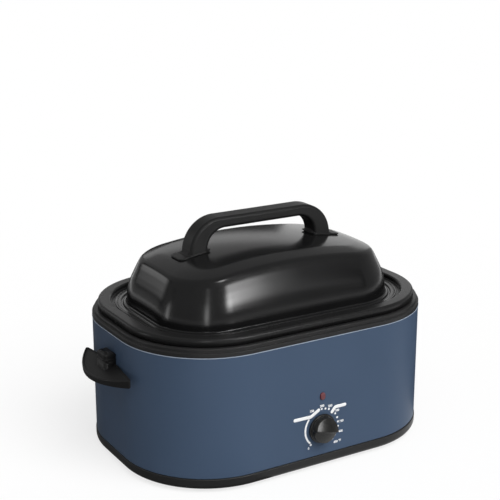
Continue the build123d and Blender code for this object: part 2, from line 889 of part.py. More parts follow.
def make_gland_nut():
    high = rear_y - casing_wall
    hexagon = extrude(RegularPolygon(gland_nut_radius, 6), gland_nut_thickness)
    nut = Pos(gland_x, high, gland_z) * Rot(90, 0, 0) * hexagon
    low = high - gland_nut_thickness
    return nut - along_y(gland_x, low - past_face, high + past_face, gland_z, gland_body_radius)


def make_terminal_block():
    half_l, half_w = terminal_length / 2, terminal_width / 2
    top = tray_inside_z + terminal_height
    body = block(terminal_x - half_l, terminal_x + half_l, terminal_y - half_w,
                 terminal_y + half_w, tray_inside_z, top)
    for step in (-1, 0, 1):
        x = terminal_x + step * terminal_length / 3
        body -= upright(x, terminal_y, top - terminal_well_depth, top + past_face,
                        terminal_well_radius)
    return body


def make_terminal_screws():
    low = tray_inside_z + terminal_height - terminal_well_depth
    high = low + terminal_screw_height
    return [
        upright(terminal_x + step * terminal_length / 3, terminal_y, low, high,
                terminal_screw_radius)
        for step in (-1, 0, 1)
    ]


def saddle(x, wall_y, z, radius, outwards):
    """Bent strip that holds a round piece lying along X against the well's wall."""
    outer = radius + saddle_wall
    y = wall_y + outwards * radius
    low, high = x - saddle_width / 2, x + saddle_width / 2
    ear_y, behind_y = wall_y + outwards * saddle_wall, wall_y - outwards * 2 * saddle_wall
    reach = outer + saddle_ear
    strip = along_x(low, high, y, z, outer)
    strip += block(low, high, min(wall_y, ear_y), max(wall_y, ear_y), z - reach, z + reach)
    strip -= along_x(low - past_face, high + past_face, y, z, radius)
    mouth = saddle_mouth_share * radius
    strip -= block(low - past_face, high + past_face, min(wall_y, y), max(wall_y, y),
                   z - mouth, z + mouth)
    return strip - block(low - past_face, high + past_face, min(wall_y, behind_y),
                         max(wall_y, behind_y), z - reach - past_face, z + reach + past_face)


def well_face_y(side):
    return side * (rear_y - well_outside_inset)


def make_thermal_fuse():
    y = well_face_y(1) + fuse_radius
    return along_x(fuse_x - fuse_length / 2, fuse_x + fuse_length / 2, y, fuse_z, fuse_radius)


def make_sensor_bulb():
    """Thermostat's sensing bulb with the capillary tube that joins it to the body."""
    y = well_face_y(-1) - bulb_radius
    low = bulb_x - bulb_length / 2
    bulb = along_x(low, low + bulb_length, y, bulb_z, bulb_radius)
    top_z = knob_z + thermostat_height / 2
    in_y = front_y + casing_wall + thermostat_depth / 2
    in_x = knob_x - capillary_x_from_knob
    points = [
        (low, y, bulb_z),
        (low - 30, y, bulb_z),
        (low - 36, y - 6, bulb_z - 30),
        (in_x, in_y, top_z + 22),
        (in_x, in_y, top_z),
    ]
    return bulb + bent_rod(points, capillary_bend, capillary_radius)


def make_wall_saddles():
    return [
        saddle(fuse_x, well_face_y(1), fuse_z, fuse_radius, 1),
        saddle(bulb_x + bulb_saddle_shift, well_face_y(-1), bulb_z, bulb_radius, -1),
    ]


def make_internal_leads():
    """Insulated leads under the heat shield: supply to thermostat, heater and lamp."""
    top = tray_inside_z + terminal_height - terminal_well_depth + terminal_screw_height
    y_rear = terminal_y
    y_front = front_y + casing_wall + tab_from_panel + tab_thickness / 2
    tab_z = knob_z - thermostat_height / 2 - tab_length
    step = terminal_length / 3
    tab_reach = thermostat_width / 2 - tab_from_side
    left_tab, right_tab = knob_x - tab_reach, knob_x + tab_reach
    lead_over_hem_z = casing_bottom_z + casing_wall + rivet_head_height + lead_hem_gap
    band_z = band_bottom_z + 12
    band_y = rear_y - band_inset + lead_radius
    runs = [
        [
            (terminal_x - step, y_rear, top), (terminal_x - step, y_rear, 28),
            (terminal_x - step, y_rear - 24, 28), (left_tab, y_front + 30, lead_over_hem_z),
            (left_tab, y_front, lead_over_hem_z), (left_tab, y_front, tab_z),
        ],
        [
            (terminal_x, y_rear, top), (terminal_x, y_rear, 32), (terminal_x + 24, y_rear + 2, 36),
            (terminal_x + 24, band_y, 52), (terminal_x + 24, band_y, band_z),
        ],
        [
            (right_tab, y_front, tab_z), (right_tab, y_front, 34), (right_tab + 26, y_front, 34),
            (right_tab + 26, -band_y, 50), (right_tab + 26, -band_y, band_z),
        ],
    ]
    bends = [lead_tight_bend, lead_bend, lead_bend]
    return [bent_rod(points, bend, lead_radius) for points, bend in zip(runs, bends)]


def make_cooking_pan():
    floor_end = pan_bottom_inset + pan_edge_radius + floor_run
    body = ring_of_sheet(
        [
            (pan_flange_inset, collar_top_z),
            (pan_flange_inset, pan_top_z),
            (pan_step_inset, pan_top_z),
            (pan_step_inset, pan_ledge_z),
            (pan_wall_inset, pan_ledge_z),
            (pan_bottom_inset, pan_inside_floor_z),
            (floor_end, pan_inside_floor_z),
        ],
        [pan_flange_rounding, pan_step_bend, pan_step_bend, pan_step_bend, pan_edge_radius],
        pan_wall,
    )
    return body + plate(floor_end - floor_lap, pan_outside_floor_z, pan_inside_floor_z)


def rack_frame_z():
    return pan_inside_floor_z + rack_floor_gap + rack_stand_height + wire_radius


def rack_corner(y):
    """X of the frame's centre line at a given Y, on the +X side."""
    r = rack_corner_radius
    over = max(abs(y) - (rack_half_width - r), 0.0)
    return rack_half_length - r + math.sqrt(r * r - over * over)


def make_rack_frame():
    z = rack_frame_z()
    outline = RectangleRounded(2 * rack_half_length, 2 * rack_half_width, rack_corner_radius)
    path = (Pos(0, 0, z) * outline).wire()
    start = path @ 0
    frame = sweep(Plane(origin=start, z_dir=path % 0) * Circle(wire_radius), path=path)
    for sx in (-1, 1):
        for sy in (-1, 1):
            x, y = sx * rack_half_length * rack_stand_share, sy * rack_half_width
            frame += upright(x, y, pan_inside_floor_z + rack_floor_gap, z, wire_radius)
    return frame


def make_rack_cross_wires(frame, long_wires):
    z = rack_frame_z() + 2 * wire_radius - rack_weld
    wires = []
    for index in range(rack_wire_count):
        x = (index - (rack_wire_count - 1) / 2) * rack_wire_pitch
        reach = rack_half_width + wire_radius
        if abs(x) > rack_half_length - rack_corner_radius:
            over = abs(x) - (rack_half_length - rack_corner_radius)
            drop = rack_corner_radius - math.sqrt(rack_corner_radius ** 2 - over ** 2)
            reach -= drop
        wire = along_y(x, -reach, reach, z, wire_radius) - frame
        for long_wire in long_wires:
            wire -= long_wire
        wires.append(wire.solids().sort_by(SortBy.VOLUME)[-1])
    return wires


def make_rack_long_wires(frame):
    wires = []
    for y in (-rack_long_wire_y, rack_long_wire_y):
        wire = along_x(-rack_half_length, rack_half_length, y, rack_frame_z(), wire_radius)
        wires.append((wire - frame).solids().sort_by(SortBy.VOLUME)[-1])
    return wires


def make_rack_handles(frame):
    foot_z = rack_frame_z() + wire_radius * rack_handle_sink
    foot_x = rack_corner(rack_handle_foot_y)
    top_z = pan_top_z - rack_handle_below_rim - wire_radius
    handles = []
    for side in (-1, 1):
        points = [
            (side * foot_x, -rack_handle_foot_y, foot_z),
            (side * rack_handle_top_x, -rack_handle_top_y, top_z),
            (side * rack_handle_top_x, rack_handle_top_y, top_z),
            (side * foot_x, rack_handle_foot_y, foot_z),
        ]
        handle = bent_rod(points, rack_handle_bend, wire_radius) - frame
        handles.append(handle.solids().sort_by(SortBy.VOLUME)[-1])
    return handles


def make_lid_shell():
    top = lid_seat_z + lid_wall
    base = lid_base_inset
    bead_z = top - lid_bead_depth
    flat_end = lid_top_inset + lid_flat_run
    body = ring_of_sheet(
        [
            (lid_flange_inset, top),
            (lid_bead_inset, top),
            (lid_bead_inset + lid_bead_slope, bead_z),
            (base - lid_bead_slope, bead_z),
            (base, lid_seat_z + lid_wall_foot),
            (base + lid_lean, lid_seat_z + lid_wall_height),
            (base + lid_shoulder, lid_seat_z + lid_shoulder_height),
            (lid_top_inset, lid_top_z),
            (flat_end, lid_top_z),
        ],
        lid_bends,
        lid_wall,
    )
    under = lid_top_z - lid_wall
    body += plate(flat_end - floor_lap, under, lid_top_z)
    hole = screw_radius + fastener_clearance
    for side in (-1, 1):
        body -= upright(side * handle_leg_x, 0, under - past_face, lid_top_z + past_face, hole)
    return body


def make_lid_handle():
    half_w = handle_width / 2
    top = lid_seat_z + handle_top_height
    base = handle_seat_z
    height = top - base
    outer = Pos(0, base + height / 2) * Rectangle(handle_length, height)
    outer = fillet(outer.vertices().group_by(Axis.Y)[-1], handle_outer_radius)
    gap_height = height - handle_bar_thickness
    gap_length = handle_length - 2 * handle_leg_thickness
    gap = Pos(0, base + gap_height / 2) * Rectangle(gap_length, gap_height)
    gap = fillet(gap.vertices().group_by(Axis.Y)[-1], handle_inner_radius)
    loop = extrude(Plane.XZ * (outer - gap), half_w, both=True)
    rims = loop.edges().group_by(Axis.Y)
    sides = [edge for edge in rims[0] + rims[-1] if edge.center().Z > base + past_face]
    loop = fillet(sides, handle_edge_radius)
    screw_end = base + lid_screw_depth + past_face
    for side in (-1, 1):
        shape = RectangleRounded(handle_foot_length, handle_foot_width, handle_foot_corner)
        foot = Pos(side * handle_foot_x, 0, base) * extrude(shape, handle_foot_thickness)
        loop += fillet(foot.edges().group_by(Axis.Z)[-1], handle_foot_rounding)
        loop -= upright(side * handle_leg_x, 0, base - past_face, screw_end, screw_radius)
    return loop


def make_lid_handle_pads():
    length = handle_foot_length - 2 * handle_pad_margin
    width = handle_foot_width - 2 * handle_pad_margin
    shape = RectangleRounded(length, width, handle_foot_corner - handle_pad_margin)
    hole = screw_radius + fastener_clearance
    pads = []
    for side in (-1, 1):
        pad = Pos(side * handle_foot_x, 0, lid_top_z) * extrude(shape, handle_pad_thickness)
        pads.append(pad - upright(side * handle_leg_x, 0, lid_top_z - past_face,
                                  handle_seat_z + past_face, hole))
    return pads


def make_lid_washers():
    high = lid_top_z - lid_wall
    low = high - lid_washer_thickness
    hole = screw_radius + fastener_clearance
    return [
        upright(side * handle_leg_x, 0, low, high, lid_washer_radius)
        - upright(side * handle_leg_x, 0, low - past_face, high + past_face, hole)
        for side in (-1, 1)
    ]


def make_lid_screws():
    under = lid_top_z - lid_wall - lid_washer_thickness
    group = []
    for side in (-1, 1):
        x = side * handle_leg_x
        screw = upright(x, 0, under, handle_seat_z + lid_screw_depth, screw_radius)
        screw += upright(x, 0, under - screw_head_height, under, screw_head_radius)
        group.append(screw)
    return group


def build_nodes():
    rack_frame = make_rack_frame()
    long_wires = make_rack_long_wires(rack_frame)
    nodes = {
        "outer_casing": make_outer_casing(),
        "top_collar": make_top_collar(),
        "base_tray": make_base_tray(),
        "tray_rivets": make_tray_rivets(),
        "collar_screws": make_collar_screws(),
        "heating_well": make_heating_well(),
        "heating_band": make_heating_band(),
        "band_strap": make_band_strap(),
        "strap_bolt": make_strap_bolt(),
        "insulation_left": make_insulation(-1),
        "insulation_right": make_insulation(1),
        "heat_shield": make_heat_shield(),
        "well_posts": make_well_posts(),
        "thermostat_body": make_thermostat_body(),
        "thermostat_nut": make_thermostat_nut(),
        "sensor_bulb": make_sensor_bulb(),
        "thermal_fuse": make_thermal_fuse(),
        "wall_saddles": make_wall_saddles(),
        "terminal_block": make_terminal_block(),
        "terminal_screws": make_terminal_screws(),
        "internal_leads": make_internal_leads(),
        "indicator_lens": make_indicator_lens(),
        "indicator_lamp": make_indicator_lamp(),
        "lens_clip": make_lens_clip(),
        "side_handle_left": make_side_handle(-1),
        "side_handle_right": make_side_handle(1),
        "handle_backing_plates": make_backing_plates(),
        "side_handle_screws": make_handle_screws(),
        "cord_gland": make_cord_gland(),
        "gland_nut": make_gland_nut(),
        "thermostat_shaft": make_thermostat_shaft(),
        "knob_spring_clip": make_knob_clip(),
        "control_knob": make_control_knob(),
        "cooking_pan": make_cooking_pan(),
        "rack_frame": rack_frame,
        "rack_cross_wires": make_rack_cross_wires(rack_frame, long_wires),
        "rack_long_wires": long_wires,
        "rack_handles": make_rack_handles(rack_frame),
        "lid_shell": make_lid_shell(),
        "lid_handle": make_lid_handle(),
        "lid_handle_pads": make_lid_handle_pads(),
        "lid_washers": make_lid_washers(),
        "lid_screws": make_lid_screws(),
    }
    for name, (x, y) in foot_places().items():
        nodes["foot_" + name] = make_foot(x, y)
    return nodes


def solids_of(piece):
    """The separate solids of a piece, or of a list of pieces."""
    if isinstance(piece, list):
        return [solid for part in piece for solid in part.solids()]
    return list(piece.solids())


os.makedirs("parts", exist_ok=True)
for name, piece in build_nodes().items():
    moved = [Pos(0, centre_shift_y, 0) * solid for solid in solids_of(piece)]
    shape = moved[0] if len(moved) == 1 else Compound(moved)
    export_step(shape, f"parts/{name}.step")
    print(name, len(moved))
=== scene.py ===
import json
import math

import bmesh
import bpy
import numpy as np
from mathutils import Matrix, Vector


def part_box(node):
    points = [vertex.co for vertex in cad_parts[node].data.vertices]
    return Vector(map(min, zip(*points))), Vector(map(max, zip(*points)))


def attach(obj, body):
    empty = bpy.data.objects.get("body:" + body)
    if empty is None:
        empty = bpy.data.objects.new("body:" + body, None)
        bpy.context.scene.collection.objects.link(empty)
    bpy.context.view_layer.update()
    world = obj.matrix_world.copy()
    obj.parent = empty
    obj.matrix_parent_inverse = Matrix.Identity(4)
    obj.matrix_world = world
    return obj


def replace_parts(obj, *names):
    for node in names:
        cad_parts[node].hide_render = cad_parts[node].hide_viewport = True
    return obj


# Electric roaster oven: finishes, drawn sheet parts, mouldings, dial print, light and camera.
# The pieces' sizes are millimetres about the casing's middle, with heights from the floor. The
# camera, the panels, the cards and the floor are in metres.
# An inset is a distance inwards from an outline, seen from above.

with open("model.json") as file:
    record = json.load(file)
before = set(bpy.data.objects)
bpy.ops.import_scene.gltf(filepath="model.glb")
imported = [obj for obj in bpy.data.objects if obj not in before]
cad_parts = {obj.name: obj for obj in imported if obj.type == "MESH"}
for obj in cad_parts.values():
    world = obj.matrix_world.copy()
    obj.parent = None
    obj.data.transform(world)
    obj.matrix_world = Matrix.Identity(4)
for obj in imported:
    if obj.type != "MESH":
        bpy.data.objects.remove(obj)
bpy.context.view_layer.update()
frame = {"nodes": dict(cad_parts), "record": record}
print("frame loaded:", len(frame["nodes"]), "nodes")

millimetre = 0.001
mergeDistance = 1e-6  # metres, as the next
shortestEdge = 1e-7
casingLow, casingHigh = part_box("outer_casing")
casing = {
    "halfLength": 280.0,
    "halfDepth": 197.0,
    "cornerRadius": 155.0,
    "middleY": (casingLow.y + casingHigh.y) / 2 / millimetre,
}
frontY = -casing["halfDepth"]


def addObject(name, data):
    # An object of a mesh, a light or a camera, put into the scene.
    item = bpy.data.objects.new(name, data)
    bpy.context.scene.collection.objects.link(item)
    return item


def finishMesh(name, points, faces, body, finish, slot=None, flat=False):
    # Turns points and faces into an object that rides on a body. Doubles are merged and the
    # faces turned outwards.
    moved = np.asarray(points, float).reshape(-1, 3) + (0.0, casing["middleY"], 0.0)
    mesh = bpy.data.meshes.new(name)
    mesh.from_pydata((moved * millimetre).tolist(), [], np.asarray(faces).tolist())
    work = bmesh.new()
    work.from_mesh(mesh)
    bmesh.ops.remove_doubles(work, verts=work.verts, dist=mergeDistance)
    bmesh.ops.dissolve_degenerate(work, edges=work.edges, dist=shortestEdge)
    bmesh.ops.recalc_face_normals(work, faces=work.faces)
    work.to_mesh(mesh)
    work.free()
    mesh.polygons.foreach_set("use_smooth", np.full(len(mesh.polygons), not flat))
    mesh.materials.append(finishes[finish])
    piece = addObject(name, mesh)
    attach(piece, body)
    return piece


def joinShapes(*shapes):
    # Several sets of points and faces as one set.
    starts = np.cumsum([0] + [points.reshape(-1, 3).shape[0] for points, _ in shapes[:-1]])
    points = np.concatenate([points.reshape(-1, 3) for points, _ in shapes])
    return points, np.concatenate([f + start for (_, f), start in zip(shapes, starts)])


def gridFaces(rows, columns, wrapRows=False, wrapColumns=False):
    # Quads between neighbours of a rows by columns grid, joined up round where it wraps.
    row = np.arange(rows if wrapRows else rows - 1)[:, None]
    column = np.arange(columns if wrapColumns else columns - 1)[None, :]
    nextRow, nextColumn = (row + 1) % rows, (column + 1) % columns
    corners = [row * columns + column, row * columns + nextColumn,
               nextRow * columns + nextColumn, nextRow * columns + column]
    return np.stack([c.ravel() for c in corners], axis=1)


def roundedLine(corners, radii, closed=False, steps=7, guard=0.35, most=0.49):
    # A line through corners, each replaced by an arc of its radius that takes at most a share
    # of the runs beside it. A point lies guard away from each end of an arc, so that the flat
    # runs shade flat.
    corners = [np.array(c, float) for c in corners]
    count = len(corners)
    out = []
    for i, (corner, radius) in enumerate(zip(corners, radii)):
        if not closed and i in (0, count - 1) or radius <= 0:
            out.append(corner)
            continue
        before = corners[i - 1] - corner
        after = corners[(i + 1) % count] - corner
        lengthBefore, lengthAfter = np.linalg.norm(before), np.linalg.norm(after)
        before, after = before / lengthBefore, after / lengthAfter
        half = math.acos(max(-1.0, min(1.0, float(before @ after)))) / 2
        reach = min(radius / math.tan(half), most * lengthBefore, most * lengthAfter)
        radius = reach * math.tan(half)
        inward = (before + after) / np.linalg.norm(before + after)
        centre = corner + inward * radius / math.sin(half)
        start, end = corner + before * reach, corner + after * reach
        sweep = math.pi - 2 * half
        t = np.linspace(0, 1, steps)[:, None]
        a, b = start - centre, end - centre
        arc = centre + (np.sin((1 - t) * sweep) * a + np.sin(t * sweep) * b) / math.sin(sweep)
        if lengthBefore - reach > 3 * guard:
            out.append(start + before * guard)
        out.extend(arc)
        if lengthAfter - reach > 3 * guard:
            out.append(end + after * guard)
    return np.array(out)


def shifted(line, distance):
    # The line moved sideways by distance, to the left of its direction.
    ahead = np.gradient(line, axis=0)
    ahead /= np.linalg.norm(ahead, axis=1)[:, None]
    return line + distance * np.stack([-ahead[:, 1], ahead[:, 0]], axis=1)


def roundedOblong(halfLength, halfDepth, radius, cornerSteps=36, sideSteps=12, endSteps=6):
    # An outline as points and outward normals: four arcs and the straight runs between them,
    # from the right end anticlockwise.
    cx, cy = halfLength - radius, halfDepth - radius
    places = [(cx, cy), (-cx, cy), (-cx, -cy), (cx, -cy)]
    points, normals = [], []
    for k, place in enumerate(places):
        angle = np.radians(np.linspace(90 * k, 90 * (k + 1), cornerSteps))
        direction = np.stack([np.cos(angle), np.sin(angle)], axis=1)
        arc = direction * radius + place
        after = np.array(places[(k + 1) % 4]) + direction[-1] * radius
        steps = sideSteps if k % 2 == 0 else endSteps
        t = np.linspace(0, 1, steps + 2)[1:-1, None]
        points += [arc, arc[-1] + (after - arc[-1]) * t]
        normals += [direction, np.repeat(direction[-1:], steps, axis=0)]
    return np.concatenate(points), np.concatenate(normals)


def outwardNormals(line):
    # Of a closed anticlockwise line: the chord between a point's neighbours, turned right.
    chord = np.roll(line, -1, axis=0) - np.roll(line, 1, axis=0)
    chord /= np.linalg.norm(chord, axis=1)[:, None]
    return np.stack([chord[:, 1], -chord[:, 0]], axis=1)


def carryRound(outline, section, closed=False, middle=(0.0, 0.0)):
    # A section carried round an outline. Its rows are inset, height and scale: the outline is
    # moved in by the inset, then shrunk about the middle by the scale.
    line, normals = outline
    section = np.asarray(section, float)
    if section.shape[1] == 2:
        section = np.column_stack([section, np.ones(len(section))])
    inset, height, scale = section.T[:, :, None, None]
    ring = middle + (line[None] - inset * normals[None] - middle) * scale
    level = np.broadcast_to(height, ring.shape[:2] + (1,))
    points = np.concatenate([ring, level], axis=2)
    return points, gridFaces(len(section), len(line), wrapRows=closed, wrapColumns=True)


def capped(line, scales=(0.66, 0.33, 0.0)):
    # A section line with rows added at both ends that close it in the middle.
    full = np.column_stack([line, np.ones(len(line))])
    first = [(line[0][0], line[0][1], s) for s in scales[::-1]]
    last = [(line[-1][0], line[-1][1], s) for s in scales]
    return np.concatenate([first, full, last])


casingOutline = roundedOblong(casing["halfLength"], casing["halfDepth"], casing["cornerRadius"])


def drawnSheet(line, thickness, rings=13):
    # Drawn sheet round the casing's outline: line runs from the rim to the middle on one face,
    # the other face lies thickness to its left, and both go on level to the middle in rings.
    scales = np.linspace(1, 0, rings + 1)[1:]

    def face(edge):
        outer = np.column_stack([edge, np.ones(len(edge))])
        return np.concatenate([outer, np.column_stack([np.tile(edge[-1], (rings, 1)), scales])])

    return carryRound(casingOutline, np.concatenate([face(line)[::-1],
                                                     face(shifted(line, thickness))]))


finishSettings = {
    "casing_paint": {"colour": (0.058, 0.090, 0.148), "rough": 0.40, "specular": 0.12,
                     "grain": 1400, "depth": 0.05, "mottle": 0.05},
    # the casing's paint made lighter: a painted highlight along the casing's rolled upper edge
    "edge_paint_painted_highlight": {"colour": (0.33, 0.39, 0.48), "rough": 0.40, "specular": 0.30,
                   "grain": 1400, "depth": 0.05, "mottle": 0.08},
    "satin_black_plastic": {"colour": (0.0195, 0.0195, 0.0197), "rough": 0.36, "specular": 0.17,
                            "grain": 2600, "depth": 0.10, "mottle": 0.22},
    "matte_black_plastic": {"colour": (0.0102, 0.0102, 0.0103), "rough": 0.44, "specular": 0.18,
                            "grain": 2200, "depth": 0.18, "mottle": 0.25},
    "gloss_black_plastic": {"colour": (0.0120, 0.0120, 0.0114), "rough": 0.23, "specular": 0.34,
                            "grain": 3000, "depth": 0.04, "mottle": 0.2},
    "dark_enamel": {"colour": (0.034, 0.034, 0.035), "rough": 0.30, "specular": 0.25,
                    "grain": 900, "depth": 0.08, "mottle": 0.3, "flecks": 0.03},
    "pan_coating": {"colour": (0.0118, 0.0118, 0.0120), "rough": 0.28, "specular": 0.18,
                    "grain": 1800, "depth": 0.06, "mottle": 0.18, "flecks": 0.02},
    "lid_enamel": {"colour": (0.0074, 0.0074, 0.0076), "rough": 0.18, "specular": 0.30,
                   "grain": 500, "depth": 0.02, "mottle": 0.2},
    "rack_chrome": {"colour": (0.72, 0.72, 0.74), "metal": 1.0, "rough": 0.12, "grain": 700,
                    "depth": 0.02, "mottle": 0.06},
    "bright_steel": {"colour": (0.56, 0.56, 0.57), "metal": 1.0, "rough": 0.32, "grain": 1200,
                     "depth": 0.08, "mottle": 0.12},
    "aluminised_sheet": {"colour": (0.55, 0.56, 0.57), "metal": 1.0, "rough": 0.42,
                         "grain": 300, "depth": 0.06, "mottle": 0.18},
    "brass": {"colour": (0.62, 0.45, 0.18), "metal": 1.0, "rough": 0.3, "grain": 900,
              "depth": 0.05, "mottle": 0.12},
    "copper_tube": {"colour": (0.60, 0.27, 0.14), "metal": 1.0, "rough": 0.3, "grain": 900,
                    "depth": 0.05, "mottle": 0.15},
    "ceramic": {"colour": (0.70, 0.66, 0.58), "rough": 0.3, "grain": 900, "depth": 0.05,
                "mottle": 0.06, "coat": 0.3, "coatRough": 0.1},
    "brown_resin": {"colour": (0.055, 0.025, 0.014), "rough": 0.45, "grain": 1500,
                    "depth": 0.08, "mottle": 0.3},
    "mica_band": {"colour": (0.34, 0.29, 0.20), "rough": 0.7, "grain": 400, "depth": 0.3,
                  "mottle": 0.3, "flecks": 0.25},
    "glass_fibre": {"colour": (0.62, 0.58, 0.48), "rough": 0.95, "grain": 260, "depth": 0.7,
                    "mottle": 0.25},
    "lead_sleeve": {"colour": (0.45, 0.42, 0.34), "rough": 0.8, "grain": 1800, "depth": 0.4,
                    "mottle": 0.15},
    "rubber_feet": {"colour": (0.012, 0.012, 0.012), "rough": 0.75, "specular": 0.3,
                    "grain": 1500, "depth": 0.2, "mottle": 0.25},
    "lamp_glass": {"colour": (0.80, 0.62, 0.50), "rough": 0.08, "grain": 600, "depth": 0.02,
                   "mottle": 0.1, "clear": 0.7},
    "red_lens": {"colour": (0.165, 0.026, 0.034), "rough": 0.30, "grain": 700, "depth": 0.15,
                 "mottle": 0.2, "clear": 0.25, "ribs": 1.0},
    "dial_white": {"colour": (0.97, 0.98, 0.99), "rough": 0.5, "grain": 2500, "depth": 0.05,
                   "mottle": 0.05},
}
pattern = {                   # what all finishes share, with scales per metre
    "broadScale": 9.0,        # mottling
    "broadDetail": 4.0,
    "fineDetail": 3.0,        # grain
    "fineRoughness": 0.6,
    "noiseRange": (0.3, 0.7),
    "broadShare": (0.1, 0.5),
    "fineShare": 0.4,
    "roughSpread": 0.12,
    "relief": 0.0004,         # metres
    "fleckSpacing": 4.0,      # grains to a fleck
    "fleckEdge": (0.16, 0.10),
    "ribScale": 160.0,
    "ribStrength": 0.6,
    "ribRelief": 0.0006,
}


def feed(tree, socket, value):
    # Links a socket to another node's output, or sets it to a number or a colour.
    if isinstance(value, bpy.types.NodeSocket):
        tree.links.new(value, socket)
    else:
        socket.default_value = value


def mathNode(tree, operation, *values, clamp=False):
    # Arithmetic on values, each a number or another node's output.
    node = tree.nodes.new("ShaderNodeMath")
    node.operation = operation
    node.use_clamp = clamp
    for socket, value in zip(node.inputs, values):
        feed(tree, socket, value)
    return node.outputs[0]


def rangeNode(tree, value, before, after, kind="LINEAR"):
    # Takes a value from one range to another and holds it there.
    node = tree.nodes.new("ShaderNodeMapRange")
    node.interpolation_type = kind
    for name, end in zip(("From Min", "From Max", "To Min", "To Max"), (*before, *after)):
        node.inputs[name].default_value = end
    tree.links.new(value, node.inputs["Value"])
    return node.outputs["Result"]


def makeFinish(name, look):
    # One finish: broad mottling and fine grain change its colour and roughness, and the grain
    # gives it relief. Flecks are small pale spots, and ribs are moulded grooves.
    p = pattern
    material = bpy.data.materials.new(name)
    material.use_nodes = True
    tree = material.node_tree
    nodes, links = tree.nodes, tree.links
    shader = nodes["Principled BSDF"]
    place = nodes.new("ShaderNodeTexCoord").outputs["Object"]

    def noise(scale, detail, roughness=0.5):
        node = nodes.new("ShaderNodeTexNoise")
        node.inputs["Scale"].default_value = scale
        node.inputs["Detail"].default_value = detail
        node.inputs["Roughness"].default_value = roughness
        links.new(place, node.inputs["Vector"])
        return node.outputs["Fac"]

    def mixColours(share, first, second):
        node = nodes.new("ShaderNodeMix")
        node.data_type = "RGBA"
        feed(tree, node.inputs["Factor"], share)
        feed(tree, node.inputs["A"], first)
        feed(tree, node.inputs["B"], second)
        return node.outputs["Result"]

    def bump(height, strength, distance):
        node = nodes.new("ShaderNodeBump")
        node.inputs["Strength"].default_value = strength
        node.inputs["Distance"].default_value = distance
        links.new(height, node.inputs["Height"])
        return node

    broad = noise(p["broadScale"], p["broadDetail"])
    fine = noise(look["grain"], p["fineDetail"], p["fineRoughness"])
    low = [c * (1 - look["mottle"]) for c in look["colour"]]
    high = [min(c * (1 + look["mottle"]), 1.0) for c in look["colour"]]
    share = rangeNode(tree, broad, p["noiseRange"], p["broadShare"])
    share = mathNode(tree, "MULTIPLY_ADD", fine, p["fineShare"], share)
    colour = mixColours(share, (*low, 1), (*high, 1))
    if "flecks" in look:
        cells = nodes.new("ShaderNodeTexVoronoi")
        cells.inputs["Scale"].default_value = look["grain"] / p["fleckSpacing"]
        links.new(place, cells.inputs["Vector"])
        spot = rangeNode(tree, cells.outputs["Distance"], p["fleckEdge"], (0.0, 1.0))
        pale = [min(c + look["flecks"], 1.0) for c in look["colour"]]
        colour = mixColours(spot, colour, (*pale, 1))
    links.new(colour, shader.inputs["Base Color"])
    smoothest = look["rough"] * (1 - p["roughSpread"])
    roughest = min(look["rough"] * (1 + p["roughSpread"]), 1.0)
    rough = rangeNode(tree, broad, p["noiseRange"], (smoothest, roughest))
    links.new(rough, shader.inputs["Roughness"])
    relief = bump(fine, look["depth"], p["relief"])
    if "ribs" in look:
        ribs = nodes.new("ShaderNodeTexWave")
        ribs.bands_direction = "X"
        ribs.inputs["Scale"].default_value = p["ribScale"]
        links.new(place, ribs.inputs["Vector"])
        grooves = bump(ribs.outputs["Fac"], p["ribStrength"] * look["ribs"], p["ribRelief"])
        links.new(relief.outputs["Normal"], grooves.inputs["Normal"])
        relief = grooves
    links.new(relief.outputs["Normal"], shader.inputs["Normal"])
    shader.inputs["Metallic"].default_value = look.get("metal", 0.0)
    shader.inputs["Specular IOR Level"].default_value = look.get("specular", 0.5)
    shader.inputs["Coat Weight"].default_value = look.get("coat", 0.0)
    shader.inputs["Coat Roughness"].default_value = look.get("coatRough", 0.03)
    shader.inputs["Transmission Weight"].default_value = look.get("clear", 0.0)
    return material


finishes = {name: makeFinish(name, look) for name, look in finishSettings.items()}

for part in frame["record"]["subparts"]:
    node = frame["nodes"][part["node"]]
    node.data.materials.clear()
    node.data.materials.append(finishes[part["material_slot"]])
print("finishes:", len(finishes))

collar = {  # insets and heights, up the outer side, over the top and back underneath
    "corners": [(-0.1, 230.2), (-0.1, 236.9), (3.3, 237.9), (3.3, 243.8), (21.0, 243.8),
                (22.0, 240.2), (27.0, 239.2), (27.0, 231.0), (24.5, 231.0), (24.5, 236.6),
                (19.6, 237.8), (18.8, 240.8), (6.0, 240.8), (6.0, 235.2), (2.2, 234.2),
                (2.2, 230.2)],
    "radii": [0.3, 0.7, 0.4, 1.6, 2.2, 0.8, 1.2, 0.6, 0.4, 0.4, 0.4, 0.4, 0.4, 0.4, 0.4, 0.3],
}


def makeCollar():
    # A closed section carried round the casing's outline.
    section = roundedLine(collar["corners"], collar["radii"], closed=True)
    shape = carryRound(casingOutline, section, closed=True)
    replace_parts(finishMesh("topCollar", *shape, "base", "satin_black_plastic"), "top_collar")


seam = {  # rolled upper edge of the casing
    "proud": 0.55,
    "sunk": 0.3,
    "low": 228.8,
    "high": 230.1,
    "steps": 9,
}


def makeCasingEdge():
    # A half-round bead: proud times the sine of the way from its lower to its upper edge.
    turn = np.linspace(0, math.pi, seam["steps"])
    middle, half = (seam["high"] + seam["low"]) / 2, (seam["high"] - seam["low"]) / 2
    bead = np.column_stack([-seam["proud"] * np.sin(turn), middle - half * np.cos(turn)])
    ends = [(seam["sunk"], seam[level]) for level in ("low", "high")]
    section = np.concatenate([ends[:1], bead, ends[1:]])
    shape = carryRound(casingOutline, section, closed=True)
    # The bead takes the casing's paint, made lighter as a painted highlight along the rolled
    # edge.
    finishMesh("casingEdge", *shape, "base", "edge_paint_painted_highlight", slot="casing_paint")


pan = {  # insets and heights, from the skirt over the rim, down the wall and along the floor
    "corners": [(11.0, 243.8), (11.0, 256.3), (31.0, 256.3), (31.0, 248.5), (46.2, 248.5),
                (48.7, 67.2), (84.0, 67.2)],
    "radii": [0, 3.4, 2.2, 2.4, 2.4, 25.0, 0],
    "wall": 1.2,
}


